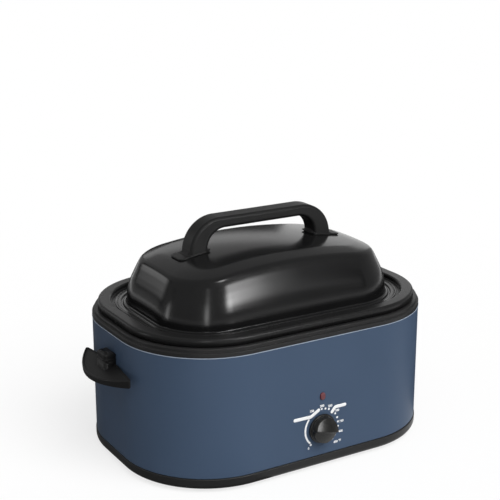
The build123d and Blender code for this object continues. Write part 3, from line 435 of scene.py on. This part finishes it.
def makePan():
    # One line carried round as drawn sheet.
    line = roundedLine(pan["corners"], pan["radii"], steps=9)
    shape = drawnSheet(line, pan["wall"])
    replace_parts(finishMesh("cookingPan", *shape, "pan", "pan_coating"), "cooking_pan")


lid = {
    "seat": 248.5,
    "sheet": 1.0,
    # insets and heights above the seat, from the rim over the bead and up the wall
    "corners": [(38.8, 0.1), (38.8, 2.3), (41.2, 2.3), (42.6, 1.1), (48.6, 1.1), (49.9, -1.4),
                (52.6, -1.4), (54.0, 1.0), (58.6, 1.6), (59.2, 10.0), (61.0, 26.5),
                (66.0, 44.0), (72.4, 58.0), (78.4, 70.0), (84.3, 79.8), (110.0, 83.8)],
    "radii": [0, 1.0, 0.8, 0.8, 0.8, 0.9, 0.9, 0.9, 3.0, 200, 230, 230, 150, 60, 25, 0],
    "archLong": 16.0,  # rise of the top's middle along the lid and across it
    "archDeep": 4.2,
    "archFrom": 13.0,  # the walls rise with the top from this height on
}


def lidArch(x, y):
    # Two arches added up, each falling with the square of the way to the shoulder.
    inset = lid["corners"][-1][0]
    halfLength, halfDepth = casing["halfLength"] - inset, casing["halfDepth"] - inset
    along = lid["archLong"] * (1 - (x / halfLength) ** 2)
    return along + lid["archDeep"] * (1 - (y / halfDepth) ** 2)


def crownHeight(x, y=0.0):
    # The height of the lid's top.
    return lid["seat"] + lid["corners"][-1][1] + lidArch(x, y)


def makeLid():
    # The arch is blended in between the walls' foot and the shoulder by a smooth step, which is
    # three squares less two cubes of the way up.
    line = roundedLine(lid["corners"], lid["radii"], steps=9) + (0, lid["seat"])
    points, faces = drawnSheet(line, -lid["sheet"])
    foot = lid["seat"] + lid["archFrom"]
    way = np.clip((points[..., 2] - foot) / (line[-1, 1] - foot), 0, 1)
    points[..., 2] += way ** 2 * (3 - 2 * way) * lidArch(points[..., 0], points[..., 1])
    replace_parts(finishMesh("lidShell", points, faces, "lid", "lid_enamel"), "lid_shell")


lidHandle = {
    "halfLength": 139.5,
    "halfWidth": 18.0,
    "top": 154.4,          # above the lid's seat
    "barThickness": 19.0,
    "legThickness": 33.0,
    "outerRadius": 58.0,
    "innerRadius": 34.0,
    "chamfer": 5.5,
    "chamferMiddle": 0.6,  # share of the chamfer at which it bulges
    "chamferBulge": 0.3,
    "chamferGuard": 0.8,   # distance of the extra points beside it
    "legStart": 2.2,       # above the lid, inside the foot
}
lidFoot = {
    "middleX": 131.5,
    "halfLength": 29.0,
    "halfWidth": 19.0,
    "cornerRadius": 8.0,
    "pad": 1.2,
    "top": 3.0,
    "edgeRadius": 0.9,
    "smallRadius": 0.3,
    "edgeReach": 7.0,         # of the plate's edge line inwards, and of the pad's
    "padReach": 6.0,
    "padMargin": 1.5,
    "padSunk": 0.5,
    "flareX": 123.0,
    "flareLength": 23.0,
    "flareMargin": 0.6,
    "flareLap": 0.4,          # into the plate
    "flareEdge": 0.8,
    "flareBend": (0.6, 2.0),  # share of the way in, and height
    "flareRadius": 5.0,
    "flareRise": 5.0,
    "flareIn": 6.5,
}


def handleSide(halfLength, top, radius, foot, legSteps=6, cornerSteps=30, barSteps=12):
    # One edge of the loop in its own plane: up a leg, round a corner, along the bar and down.
    up = np.linspace(foot, top - radius, legSteps)
    leg = np.column_stack([np.full(legSteps, -halfLength), up])
    angle = np.radians(np.linspace(180, 90, cornerSteps + 2)[1:-1])
    middle = np.array([-halfLength + radius, top - radius])
    corner = middle + radius * np.column_stack([np.cos(angle), np.sin(angle)])
    along = np.linspace(-halfLength + radius, 0, barSteps)
    half = np.concatenate([leg, corner, np.column_stack([along, np.full(barSteps, top)])])
    return np.concatenate([half, half[::-1][1:] * (-1, 1)])


def handleLoop():
    # Between the outer and the inner edge line lies a section whose rows are the share of the
    # way in, a distance further in, and the place across the width.
    h = lidHandle
    innerHalf = h["halfLength"] - h["legThickness"]
    top = lid["seat"] + h["top"]
    outerFoot, innerFoot = crownHeight(np.array([h["halfLength"], innerHalf])) + h["legStart"]
    outer = handleSide(h["halfLength"], top, h["outerRadius"], outerFoot)
    inner = handleSide(innerHalf, top - h["barThickness"], h["innerRadius"], innerFoot)
    across = inner - outer
    depth = np.linalg.norm(across, axis=1)[:, None, None]
    across = across[:, None, :] / depth
    c, w = h["chamfer"], h["halfWidth"]
    middle, bulge, guard = h["chamferMiddle"] * c, h["chamferBulge"], h["chamferGuard"]
    front = [(0, 0.0, c - w + guard), (0, 0.0, c - w), (0, bulge, middle - w),
             (0, middle, bulge - w), (0, c, -w), (0, c + guard, -w)]
    edges = front + [(1, -into, side) for share, into, side in front[::-1]]
    rows = np.array(edges + [(share, into, -side) for share, into, side in edges[::-1]])
    into = rows[None, :, 0:1] * depth + rows[None, :, 1:2]
    plane = outer[:, None, :] + into * across
    side = np.broadcast_to(rows[None, :, 2:3], plane.shape[:2] + (1,))
    points = np.concatenate([plane[..., :1], side, plane[..., 1:]], axis=2)
    return points, gridFaces(len(outer), len(rows), wrapColumns=True)


def footPlate(side, middleX, halfLength, halfWidth, line):
    # A plate under a leg, round at its corners. The line is its edge, with heights measured
    # from the lid's top.
    outline = roundedOblong(halfLength, halfWidth, lidFoot["cornerRadius"],
                            cornerSteps=10, sideSteps=8, endSteps=5)
    points, faces = carryRound(outline, capped(line))
    points = points + (side * middleX, 0, 0)
    points[..., 2] += crownHeight(points[..., 0], points[..., 1])
    return points, faces


def makeLidHandle():
    # The loop, a thin plate under each leg with a flare between them, and a pad below. Each
    # edge line goes out at one height and back in at another.
    f = lidFoot
    reach, small = f["edgeReach"], f["smallRadius"]
    plate = roundedLine([(reach, f["pad"]), (0, f["pad"]), (0, f["top"]), (reach, f["top"])],
                        [0, small, f["edgeRadius"], 0], steps=5)
    low, high = f["top"] - f["flareLap"], f["top"] + f["flareRise"]
    share, bend = f["flareBend"]
    flare = roundedLine([(0, low), (0, low + f["flareEdge"]), (share * f["flareIn"], low + bend),
                         (f["flareIn"], high)], [0, small, f["flareRadius"], 0], steps=5)
    reach, sunk, m = f["padReach"], f["padSunk"], f["padMargin"]
    pad = roundedLine([(reach, -sunk), (0, -sunk), (0, f["pad"]), (reach, f["pad"])],
                      [0, small, small, 0])
    shapes, pads = [handleLoop()], []
    for side in (-1, 1):
        shapes.append(footPlate(side, f["middleX"], f["halfLength"], f["halfWidth"], plate))
        shapes.append(footPlate(side, f["flareX"], f["flareLength"],
                                f["halfWidth"] - f["flareMargin"], flare))
        pads.append(footPlate(side, f["middleX"], f["halfLength"] - m, f["halfWidth"] - m, pad))
    handle = finishMesh("lidHandle", *joinShapes(*shapes), "lid", "matte_black_plastic")
    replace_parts(handle, "lid_handle")
    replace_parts(finishMesh("lidHandlePads", *joinShapes(*pads), "lid", "rubber_feet"),
                "lid_handle_pads")


wing = {
    "wallSpan": 24.0,      # half lengths along the wall and along the outer edge
    "outerSpan": 90.0,
    "reach": 43.1,
    "bow": 0.0045,         # the outer edge's distance out falls by bow times y squared
    "wallGap": 1.2,
    "rimTop": 174.5,
    "rimRise": -2.0,       # from the middle to the tips
    "rimLow": -9.5,        # heights above the rim's top, as the next two
    "plateTop": -2.2,
    "plateLow": -6.2,
    "deepen": 1.4,         # share by which the rim's lower part grows towards the tips
    "rimWidth": 4.6,
    "rimTopWidth": 3.2,
    "rimTuck": 0.9,        # inset of the rim's lower edge
    "plateInset": 6.5,     # where the plate's lines start, and the slope from rim to plate
    "plateSlope": 1.0,
    "radii": [0, 0.8, 1.0, 1.6, 1.4, 1.0, 0.6, 0],
    "tipRadius": 5.0,
    "spineSpan": 0.93,     # share of the outline's length
    "mostInset": 0.85,     # shares of the way to the spine
    "closing": (0.88, 0.94, 1.0),
    "nearRise": 9.5,       # at the wall, and the fall from there to the outer edge
    "tilt": 14.5,
}
block = {
    "reach": 20.5,
    "halfWidth": 16.8,
    "cornerRadius": 6.0,
    "sunk": 0.4,           # into the casing's wall
    "low": 165.5,
    "lowRadius": 1.2,
    "slotLow": 185.6,
    "slotHigh": 190.4,
    "slotDepth": 9.0,
    "slotLap": 0.05,
    "lip": 0.7,            # how far it stands out, its height, and where the slope below ends
    "lipHeight": 1.6,
    "lipSlope": 2.2,
    "lipRadii": (0.4, 0.5, 0.4),
    "faceInset": 0.3,
    "top": 201.5,
    "topRadius": 3.2,
    "capReach": 8.0,       # of the upper and the lower side, before they close in the middle
}


def wallX(y):
    # The casing's end wall at y: straight in the middle, then an arc of the corner radius.
    straight = casing["halfDepth"] - casing["cornerRadius"]
    past = np.clip(np.abs(y) - straight, 0, None)
    fall = casing["cornerRadius"] - np.sqrt(casing["cornerRadius"] ** 2 - past ** 2)
    return casing["halfLength"] - fall


def wingPlace(along, out):
    # Along and out run from -1 to 1 and from the wall, 0, to the outer edge, 1. The point lies
    # on the straight line between the two edges.
    wallY, outerY = along * wing["wallSpan"], along * wing["outerSpan"]
    nearX = wallX(wallY) + wing["wallGap"]
    farX = casing["halfLength"] + wing["reach"] - wing["bow"] * outerY ** 2
    return np.stack([-(nearX + (farX - nearX) * out), wallY + (outerY - wallY) * out], axis=-1)


def wingShape():
    # The section runs from the upper side over the rim to the lower side and is carried round
    # the wing's outline. Every point of the outline moves in on a straight line to the spine,
    # which lies half way out. The rim's change towards the tips goes with y squared.
    w = wing
    flat = roundedOblong(w["outerSpan"], w["reach"] / 2, w["tipRadius"],
                         cornerSteps=12, sideSteps=40, endSteps=8)[0]
    along, out = flat[:, 0] / w["outerSpan"], flat[:, 1] / w["reach"] + 0.5
    edge = wingPlace(along, out)
    inward = wingPlace(along * w["spineSpan"], np.full(len(out), 0.5)) - edge
    reach = np.linalg.norm(inward, axis=1)[None, :, None]
    width, start = w["rimWidth"], w["plateInset"]
    line = roundedLine([(start, w["plateTop"]), (width, w["plateTop"]), (w["rimTopWidth"], 0),
                        (0, 0), (w["rimTuck"], w["rimLow"]), (width, w["rimLow"]),
                        (width + w["plateSlope"], w["plateLow"]), (start, w["plateLow"])],
                       w["radii"], steps=6)
    inset = np.minimum(line[:, 0, None, None], w["mostInset"] * reach)
    closing = reach * np.array(w["closing"])[:, None, None]
    far = np.concatenate([closing[::-1], inset, closing])
    plan = edge[None] + inward[None] / reach * far
    depth = np.pad(line[:, 1], len(closing), mode="edge")[:, None]
    ends = (plan[..., 1] / w["outerSpan"]) ** 2
    depth = depth + w["deepen"] * ends * np.minimum(depth - w["plateLow"], 0)
    out = (-plan[..., 0] - casing["halfLength"]) / w["reach"]
    lean = w["nearRise"] - w["tilt"] * out
    height = w["rimTop"] + w["rimRise"] * ends + depth + lean
    points = np.concatenate([plan, height[..., None]], axis=2)
    return points, gridFaces(len(plan), len(edge), wrapColumns=True)


def blockShape():
    # A rounded block on the end wall. Its section is carried round its plan, and the rows of
    # the slot stop slotDepth behind the block's face.
    b = block
    back, face = b["sunk"] - casing["halfLength"], -casing["halfLength"] - b["reach"]
    half, corner, cap = b["halfWidth"], b["cornerRadius"], b["capReach"]
    plan = roundedLine([(face, -half), (back, -half), (back, half), (face, half)],
                       [corner, 0, 0, corner], closed=True, steps=10)
    low, high, lip, inset = b["slotLow"], b["slotHigh"], b["lip"], b["faceInset"]
    under = roundedLine([(cap, b["low"]), (0, b["low"]), (0, low)], [0, b["lowRadius"], 0])
    slot = [(0, low + b["slotLap"]), (0, high - b["slotLap"])]
    over = roundedLine([(0, high), (-lip, high), (-lip, high + b["lipHeight"]),
                        (inset, high + b["lipSlope"]), (inset, b["top"]), (cap, b["top"])],
                       [0, *b["lipRadii"], b["topRadius"], 0], steps=6)
    section = capped(np.concatenate([under, slot, over]))
    points, faces = carryRound((plan, outwardNormals(plan)), section,
                               middle=((back + face) / 2, 0))
    inSlot = (points[..., 2] > low) & (points[..., 2] < high)
    stopped = np.maximum(points[..., 0], face + b["slotDepth"])
    points[..., 0] = np.where(inSlot, stopped, points[..., 0])
    return points, faces


def makeSideHandles():
    # The wing and its block on the left, and the same with x turned round on the right.
    points, faces = joinShapes(wingShape(), blockShape())
    for name, mirrored in (("left", 1), ("right", -1)):
        piece = finishMesh("sideHandle" + name.capitalize(), points * (mirrored, 1, 1), faces,
                           "base", "matte_black_plastic")
        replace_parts(piece, "side_handle_" + name)


knob = {
    "x": 4.0,
    "z": 73.0,
    "panelGap": 1.0,
    "height": 22.0,
    "skirtRadius": 25.0,
    "skirtHeight": 4.0,
    "ribs": 60,
    "ribDepth": 0.3,
    "ribMargins": (0.8, 0.2),  # kept clear at the skirt's foot and at its top
    "footRadius": 22.7,
    "faceRadius": 21.4,
    "radii": [0, 0.5, 1.1, 0.3, 1.4, 0],
    "faceStart": 17.0,  # radius inside which the face's own grid begins
    "turnSteps": 240,
    "faceSteps": 25,
    "ridgeAngle": -12.6,  # degrees from level
    "ridgeHalf": 0.5,
    "ridgeSlopes": (1.6, 0.42),  # fall of its lower and upper flank
    "ridgeSoft": 0.3,
    "ridgeBow": 75.0,  # radius of its crest along its length
    "faceHeight": 18.2,
    "faceBow": 52.0,  # radius of the domed face
    "softness": 0.7,
}


def softMinimum(a, b, softness):
    # The smaller of the two, with their crossing rounded over the softness.
    blend = np.clip(softness - np.abs(a - b), 0, None) / softness
    return np.minimum(a, b) - blend ** 2 * softness / 4


def knobFace(u, v):
    # The higher of a ridge along u and a domed face. The ridge's flanks fall with v, steeply
    # below it and gently above.
    k = knob
    slope = np.where(v < 0, k["ridgeSlopes"][0], k["ridgeSlopes"][1])
    flank = np.clip(np.sqrt(v ** 2 + k["ridgeSoft"]) - k["ridgeHalf"], 0, None) * slope
    ridge = k["height"] - flank - u ** 2 / (2 * k["ridgeBow"])
    dome = k["faceHeight"] - (u ** 2 + v ** 2) / (2 * k["faceBow"])
    return -softMinimum(-ridge, -dome, k["softness"] / 2)


def makeKnob():
    # Rows of radius and height are turned round the axis up to the face's edge. Across the face
    # the lines run along the ridge: u is a share of the chord and v is the place across it.
    k = knob
    count, start = k["turnSteps"], k["faceStart"]
    line = roundedLine([(0, 0), (k["skirtRadius"], 0), (k["skirtRadius"], k["skirtHeight"]),
                        (k["footRadius"], k["skirtHeight"]), (k["faceRadius"], k["height"]),
                        (start, k["height"])], k["radii"], steps=8)
    turn = 2 * math.pi * np.arange(count) / count
    footMargin, topMargin = k["ribMargins"]
    onSkirt = line[:, 0] > k["footRadius"] + footMargin
    onSkirt &= line[:, 1] < k["skirtHeight"] - topMargin
    radius = line[:, :1] + k["ribDepth"] * onSkirt[:, None] * np.cos(k["ribs"] * turn)
    wall = np.stack([radius * np.cos(turn), radius * np.sin(turn),
                     np.broadcast_to(line[:, 1:], radius.shape)], axis=2)
    tilt = np.linspace(-math.pi / 2, math.pi / 2, count // 2 + 1)[:, None]
    share = np.linspace(-1, 1, k["faceSteps"])[None, :]
    u, v = start * np.cos(tilt) * share, start * np.sin(tilt) * np.ones_like(share)
    face = np.stack([u, v, np.full_like(u, k["height"])], axis=2)
    points, faces = joinShapes((wall, gridFaces(len(line), count, wrapColumns=True)),
                               (face, gridFaces(*face.shape[:2])))
    surface = knobFace(points[:, 0], points[:, 1])
    height = softMinimum(points[:, 2], surface, k["softness"])
    angle = math.radians(k["ridgeAngle"])
    x = k["x"] + points[:, 0] * math.cos(angle) - points[:, 1] * math.sin(angle)
    z = k["z"] + points[:, 0] * math.sin(angle) + points[:, 1] * math.cos(angle)
    placed = np.stack([x, frontY - k["panelGap"] - height, z], axis=1)
    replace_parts(finishMesh("controlKnob", placed, faces, "knob", "gloss_black_plastic"),
                "control_knob")


dial = {
    "proud": 0.12,  # of the front, and how far the print's back lies in it
    "sunk": 0.05,
    "bevel": (0.9, 0.6),  # shares of the half width and of the height at the print's edge
    "endSteps": 8,
    "dotRadius": 1.9,
    "dotRun": 0.01,  # half the distance between a dot's round ends
    "dotCircle": 33.4,
    "dotAngles": (231.4, 90, 77.3, 64.8, 35.5, 20.2, 6.1, -8, -21.5, -35, -47.9),
    "arcCircle": 31.8,
    "arcAngles": (143, 224),
    "arcSteps": 40,
    "arcWidth": 3.3,
    "bars": (((-48.3, 97.7), (-17.0, 97.0), (-2.3, 105.7)),
             ((50.4, 104.3), (30.7, 104.3), (24.8, 96.7))),
    "barRadius": 6,
    "barWidth": 5.8,
    "numbers": (("0", -21.0, 41.4), ("150", -15.6, 106.9), ("200", 4.5, 111.6),
                ("250", 20.9, 108.3), ("300", 34.9, 97.1), ("350", 44.2, 75.9),
                ("400", 42.9, 57.7), ("450", 33.3, 40.6), ("\u00b0F", 41.4, 41.2)),
    "numberHeight": 3.9,
    "numberShare": 0.7,  # of the font's size that a number's height takes
    "numberBold": 0.2,
}


def printedBand(line, width):
    # A flat band with round ends. Past each end the half width is the root of its square less
    # the square of the way gone past.
    line = np.asarray(line, float)
    half, ends = width / 2, dial["endSteps"]
    ahead = np.gradient(line, axis=0)
    ahead /= np.linalg.norm(ahead, axis=1)[:, None]
    turn = np.linspace(0, math.pi / 2, ends + 1)[1:, None]
    first = (line[:1] - ahead[:1] * half * np.sin(turn))[::-1]
    last = line[-1:] + ahead[-1:] * half * np.sin(turn)
    path = np.concatenate([first, line, last])
    ahead = np.concatenate([np.repeat(ahead[:1], ends, axis=0), ahead,
                            np.repeat(ahead[-1:], ends, axis=0)])
    halves = np.concatenate([half * np.cos(turn)[::-1], np.full((len(line), 1), half),
                             half * np.cos(turn)])
    left = np.stack([-ahead[:, 1], ahead[:, 0]], axis=1)
    inner, edge = dial["bevel"]
    across = np.array([-1, -1, -inner, inner, 1, 1])
    proud, back = dial["proud"], -dial["sunk"]
    lift = np.array([back, edge * proud, proud, proud, edge * proud, back])
    plan = path[:, None] + left[:, None] * (halves * across[None])[..., None]
    level = np.broadcast_to(frontY - lift, plan.shape[:2])
    points = np.stack([plan[..., 0], level, plan[..., 1]], axis=2)
    return points, gridFaces(len(path), len(across), wrapColumns=True)


def aroundKnob(radius, degrees):
    # Places on a circle round the knob, by their angle from the right.
    angle = np.radians(degrees)
    return np.stack([knob["x"] + radius * np.cos(angle), knob["z"] + radius * np.sin(angle)],
                    axis=-1)


def makeDialMarks():
    # Dots and an arc on circles round the knob, and two bent bars.
    d = dial
    arc = aroundKnob(d["arcCircle"], np.linspace(*d["arcAngles"], d["arcSteps"]))
    bands = [printedBand(arc, d["arcWidth"])]
    run = (d["dotRun"], 0)
    for place in aroundKnob(d["dotCircle"], np.array(d["dotAngles"])):
        bands.append(printedBand([place - run, place + run], 2 * d["dotRadius"]))
    for corners in d["bars"]:
        bands.append(printedBand(roundedLine(corners, [0, d["barRadius"], 0]), d["barWidth"]))
    finishMesh("dialMarks", *joinShapes(*bands), "base", "dial_white", slot="casing_paint")


def makeDialNumbers():
    # Letters are made a mesh, stood up on the front and given the print's thickness.
    d = dial
    shapes = []
    for words, x, z in d["numbers"]:
        letters = bpy.data.curves.new("letters", "FONT")
        letters.body = words
        letters.size = d["numberHeight"] / d["numberShare"]
        letters.align_x, letters.align_y = "CENTER", "CENTER"
        letters.extrude = (d["proud"] + d["sunk"]) / 2
        letters.offset = d["numberBold"]
        sheet = bpy.data.meshes.new_from_object(bpy.data.objects.new("letters", letters))
        sheet.calc_loop_triangles()
        points = np.empty(len(sheet.vertices) * 3)
        sheet.vertices.foreach_get("co", points)
        faces = np.empty(len(sheet.loop_triangles) * 3, int)
        sheet.loop_triangles.foreach_get("vertices", faces)
        points = points.reshape(-1, 3)
        level = frontY + (d["sunk"] - d["proud"]) / 2 - points[:, 2]
        shapes.append((np.stack([x + points[:, 0], level, z + points[:, 1]], axis=1),
                       faces.reshape(-1, 3)))
    finishMesh("dialNumbers", *joinShapes(*shapes), "base", "dial_white",
               slot="casing_paint", flat=True)


makeCollar()
makeCasingEdge()
makePan()
makeLid()
print("drawn sheet made")
makeLidHandle()
makeSideHandles()
makeKnob()
print("mouldings made")
makeDialMarks()
makeDialNumbers()
print("dial printed")

view = {
    "position": (-1.0102, -1.6536, 0.8967),  # about the casing's middle, and from the floor
    "back": (-0.4949, -0.8223, 0.2808),
    "lens": 84.24,
    "sensor": 36.0,
    "clip": (0.05, 200.0),
}


def makeCamera():
    # It looks along the reverse of its back direction, with its upper side up.
    data = bpy.data.cameras.new("camera")
    data.sensor_width = view["sensor"]
    data.lens = view["lens"]
    data.clip_start, data.clip_end = view["clip"]
    camera = addObject("camera", data)
    camera.location = Vector(view["position"]) + Vector((0, casing["middleY"] * millimetre, 0))
    camera.rotation_mode = "QUATERNION"
    camera.rotation_quaternion = (-Vector(view["back"])).to_track_quat("-Z", "Y")
    bpy.context.scene.camera = camera


suns = {  # tilt from straight down, turn about the vertical, strength and spread in degrees
    "key": {"tilt": 40, "turn": 12, "strength": 2.85, "spread": 50},
    "fill": {"tilt": 60, "turn": -50, "strength": 0.25, "spread": 80},
}
panels = {  # soft-edged light cards: direction and distance, level, half width and height
    "sideStrip": {"direction": 167, "distance": 0.95, "level": 0.27, "halfWidth": 0.075,
                  "halfHeight": 0.36, "radiance": 6.8},
    "cornerStrip": {"direction": -124, "distance": 0.95, "level": 0.38, "halfWidth": 0.075,
                    "halfHeight": 0.60, "radiance": 9.0},
    "highPanel": {"direction": -85, "distance": 1.5, "level": 2.0, "halfWidth": 0.48,
                  "halfHeight": 0.62, "radiance": 18.0},
    "middlePanel": {"direction": -75, "distance": 1.5, "level": 0.79, "halfWidth": 0.33,
                    "halfHeight": 0.40, "radiance": 30.0},
    "frontPanel": {"direction": -63, "distance": 1.9, "level": 0.64, "halfWidth": 0.72,
                   "halfHeight": 0.30, "radiance": 0.9},
    "endPanel": {"direction": 126, "distance": 1.8, "level": 0.76, "halfWidth": 0.66,
                 "halfHeight": 0.38, "radiance": 2.2},
}
cards = (  # round the oven: arc in degrees, rows of radius and height, grey
    ((0, 360), ((4.0, 3.2), (3.0, 4.6), (1.2, 5.4), (0.1, 5.5)), 0.36),
    ((80, 400), ((4.0, 0.0), (4.0, 3.2)), 0.36),
    ((40, 80), ((4.0, 1.75), (4.0, 3.2)), 0.36),
    ((56, 80), ((4.0, 0.0), (4.0, 1.1)), 0.03),
    ((-20, 90), ((0.1, 0.002), (2.0, 0.002)), 0.04),
    ((90, 245), ((0.1, 0.002), (2.0, 0.002)), 0.15),
)
cardSteps = 61
room = {"diffuse": 0.22, "white": 1.0}
floorLook = {
    "reach": 40.0,
    "albedo": 0.55,
    "lift": 0.47,   # added for the rays that see the white room
    "near": 0.7,    # where the floor starts to turn white, and where it ends
    "far": 1.8,
    "least": 0.55,  # share of white near the oven
}


def makeLights():
    # Soft suns that gloss doesn't show.
    for name, lamp in suns.items():
        data = bpy.data.lights.new(name, "SUN")
        data.energy = lamp["strength"]
        data.angle = math.radians(lamp["spread"])
        light = addObject(name, data)
        light.rotation_euler = (math.radians(lamp["tilt"]), 0, math.radians(lamp["turn"]))
        light.visible_glossy = False


def whiteRays(tree):
    # One for camera, glossy and transmission rays, and nothing for the others.
    path = tree.nodes.new("ShaderNodeLightPath")
    seen = path.outputs["Is Camera Ray"]
    for kind in ("Is Glossy Ray", "Is Transmission Ray"):
        seen = mathNode(tree, "MAXIMUM", seen, path.outputs[kind])
    return seen


def mixShaders(tree, share, first, second):
    # The first shader where the share is nothing, the second where it is one.
    mix = tree.nodes.new("ShaderNodeMixShader")
    for socket, value in zip(mix.inputs, (share, first, second)):
        tree.links.new(value, socket)
    return mix.outputs[0]


def whiteGlow(tree, strength):
    # White light of a strength, which is a number or another node's output.
    glow = tree.nodes.new("ShaderNodeEmission")
    feed(tree, glow.inputs["Strength"], strength)
    return glow.outputs[0]


def stageMaterial(name):
    # A material with nothing but its output.
    material = bpy.data.materials.new(name)
    material.use_nodes = True
    material.node_tree.nodes.remove(material.node_tree.nodes["Principled BSDF"])
    return material


def makeWorld():
    # White for the rays that see the room, and softer as light.
    world = bpy.data.worlds.new("studio")
    bpy.context.scene.world = world
    world.use_nodes = True
    tree = world.node_tree
    white = tree.nodes.new("ShaderNodeBackground")
    soft = tree.nodes["Background"]
    for light, strength in ((soft, room["diffuse"]), (white, room["white"])):
        light.inputs["Color"].default_value = (1, 1, 1, 1)
        light.inputs["Strength"].default_value = strength
    mix = mixShaders(tree, whiteRays(tree), soft.outputs[0], white.outputs[0])
    tree.links.new(mix, tree.nodes["World Output"].inputs["Surface"])


def glossCard(name, points, faces, radiance, soft=False):
    # A glowing card that only gloss shows. A soft one fades towards its edges: one less the
    # square of the way out, across times up, and that squared.
    mesh = bpy.data.meshes.new(name)
    mesh.from_pydata(np.asarray(points, float).tolist(), [], np.asarray(faces).tolist())
    material = stageMaterial(name)
    tree = material.node_tree
    strength = radiance
    if soft:
        place = tree.nodes.new("ShaderNodeTexCoord")
        split = tree.nodes.new("ShaderNodeSeparateXYZ")
        tree.links.new(place.outputs["Object"], split.inputs[0])
        fades = []
        for axis in ("X", "Y"):
            square = mathNode(tree, "MULTIPLY", split.outputs[axis], split.outputs[axis])
            fades.append(mathNode(tree, "SUBTRACT", 1.0, square, clamp=True))
        both = mathNode(tree, "MULTIPLY", *fades)
        strength = mathNode(tree, "MULTIPLY", mathNode(tree, "POWER", both, 2.0), radiance)
    tree.links.new(whiteGlow(tree, strength), tree.nodes["Material Output"].inputs["Surface"])
    mesh.materials.append(material)
    card = addObject(name, mesh)
    card.visible_camera = False
    card.visible_diffuse = False
    card.visible_transmission = False
    card.visible_shadow = False
    return card


def makeCards():
    # Grey arcs round the oven, and soft panels that stand in front of them.
    for number, (arc, rows, grey) in enumerate(cards):
        turn = np.radians(np.linspace(*arc, cardSteps))
        radius, height = np.array(rows).T[:, :, None]
        level = np.broadcast_to(height, (len(rows), len(turn)))
        points = np.stack([radius * np.cos(turn), radius * np.sin(turn), level], axis=2)
        glossCard(f"card{number}", points.reshape(-1, 3), gridFaces(*points.shape[:2]), grey)
    corners = [(-1, -1, 0), (1, -1, 0), (1, 1, 0), (-1, 1, 0)]
    for name, panel in panels.items():
        card = glossCard(name, corners, [(0, 1, 2, 3)], panel["radiance"], soft=True)
        turn = math.radians(panel["direction"])
        distance = panel["distance"]
        card.location = (distance * math.cos(turn), distance * math.sin(turn), panel["level"])
        card.rotation_euler = (math.pi / 2, 0, turn + math.pi / 2)
        card.scale = (panel["halfWidth"], panel["halfHeight"], 1)


def makeFloor():
    # Pale near the oven, where it takes the shadow. With the distance from the middle it turns
    # into the white of the room.
    look = floorLook
    reach = look["reach"]
    mesh = bpy.data.meshes.new("floor")
    mesh.from_pydata([(-reach, -reach, 0), (reach, -reach, 0), (reach, reach, 0),
                      (-reach, reach, 0)], [], [(0, 1, 2, 3)])
    material = stageMaterial("floor")
    tree = material.node_tree
    seen = whiteRays(tree)
    pale = tree.nodes.new("ShaderNodeBsdfDiffuse")
    pale.inputs["Color"].default_value = (*[look["albedo"]] * 3, 1)
    lift = whiteGlow(tree, mathNode(tree, "MULTIPLY", seen, look["lift"]))
    lifted = tree.nodes.new("ShaderNodeAddShader")
    tree.links.new(pale.outputs[0], lifted.inputs[0])
    tree.links.new(lift, lifted.inputs[1])
    place = tree.nodes.new("ShaderNodeTexCoord")
    distance = tree.nodes.new("ShaderNodeVectorMath")
    distance.operation = "LENGTH"
    tree.links.new(place.outputs["Object"], distance.inputs[0])
    fade = rangeNode(tree, distance.outputs["Value"], (look["near"], look["far"]),
                     (look["least"], 1.0), "SMOOTHSTEP")
    share = mathNode(tree, "MULTIPLY", fade, seen)
    mix = mixShaders(tree, share, lifted.outputs[0], whiteGlow(tree, room["white"]))
    tree.links.new(mix, tree.nodes["Material Output"].inputs["Surface"])
    mesh.materials.append(material)
    floor = addObject("floor", mesh)


makeCamera()
makeLights()
makeWorld()
makeCards()
makeFloor()
bpy.context.scene.view_settings.view_transform = "Standard"
print("stage set")
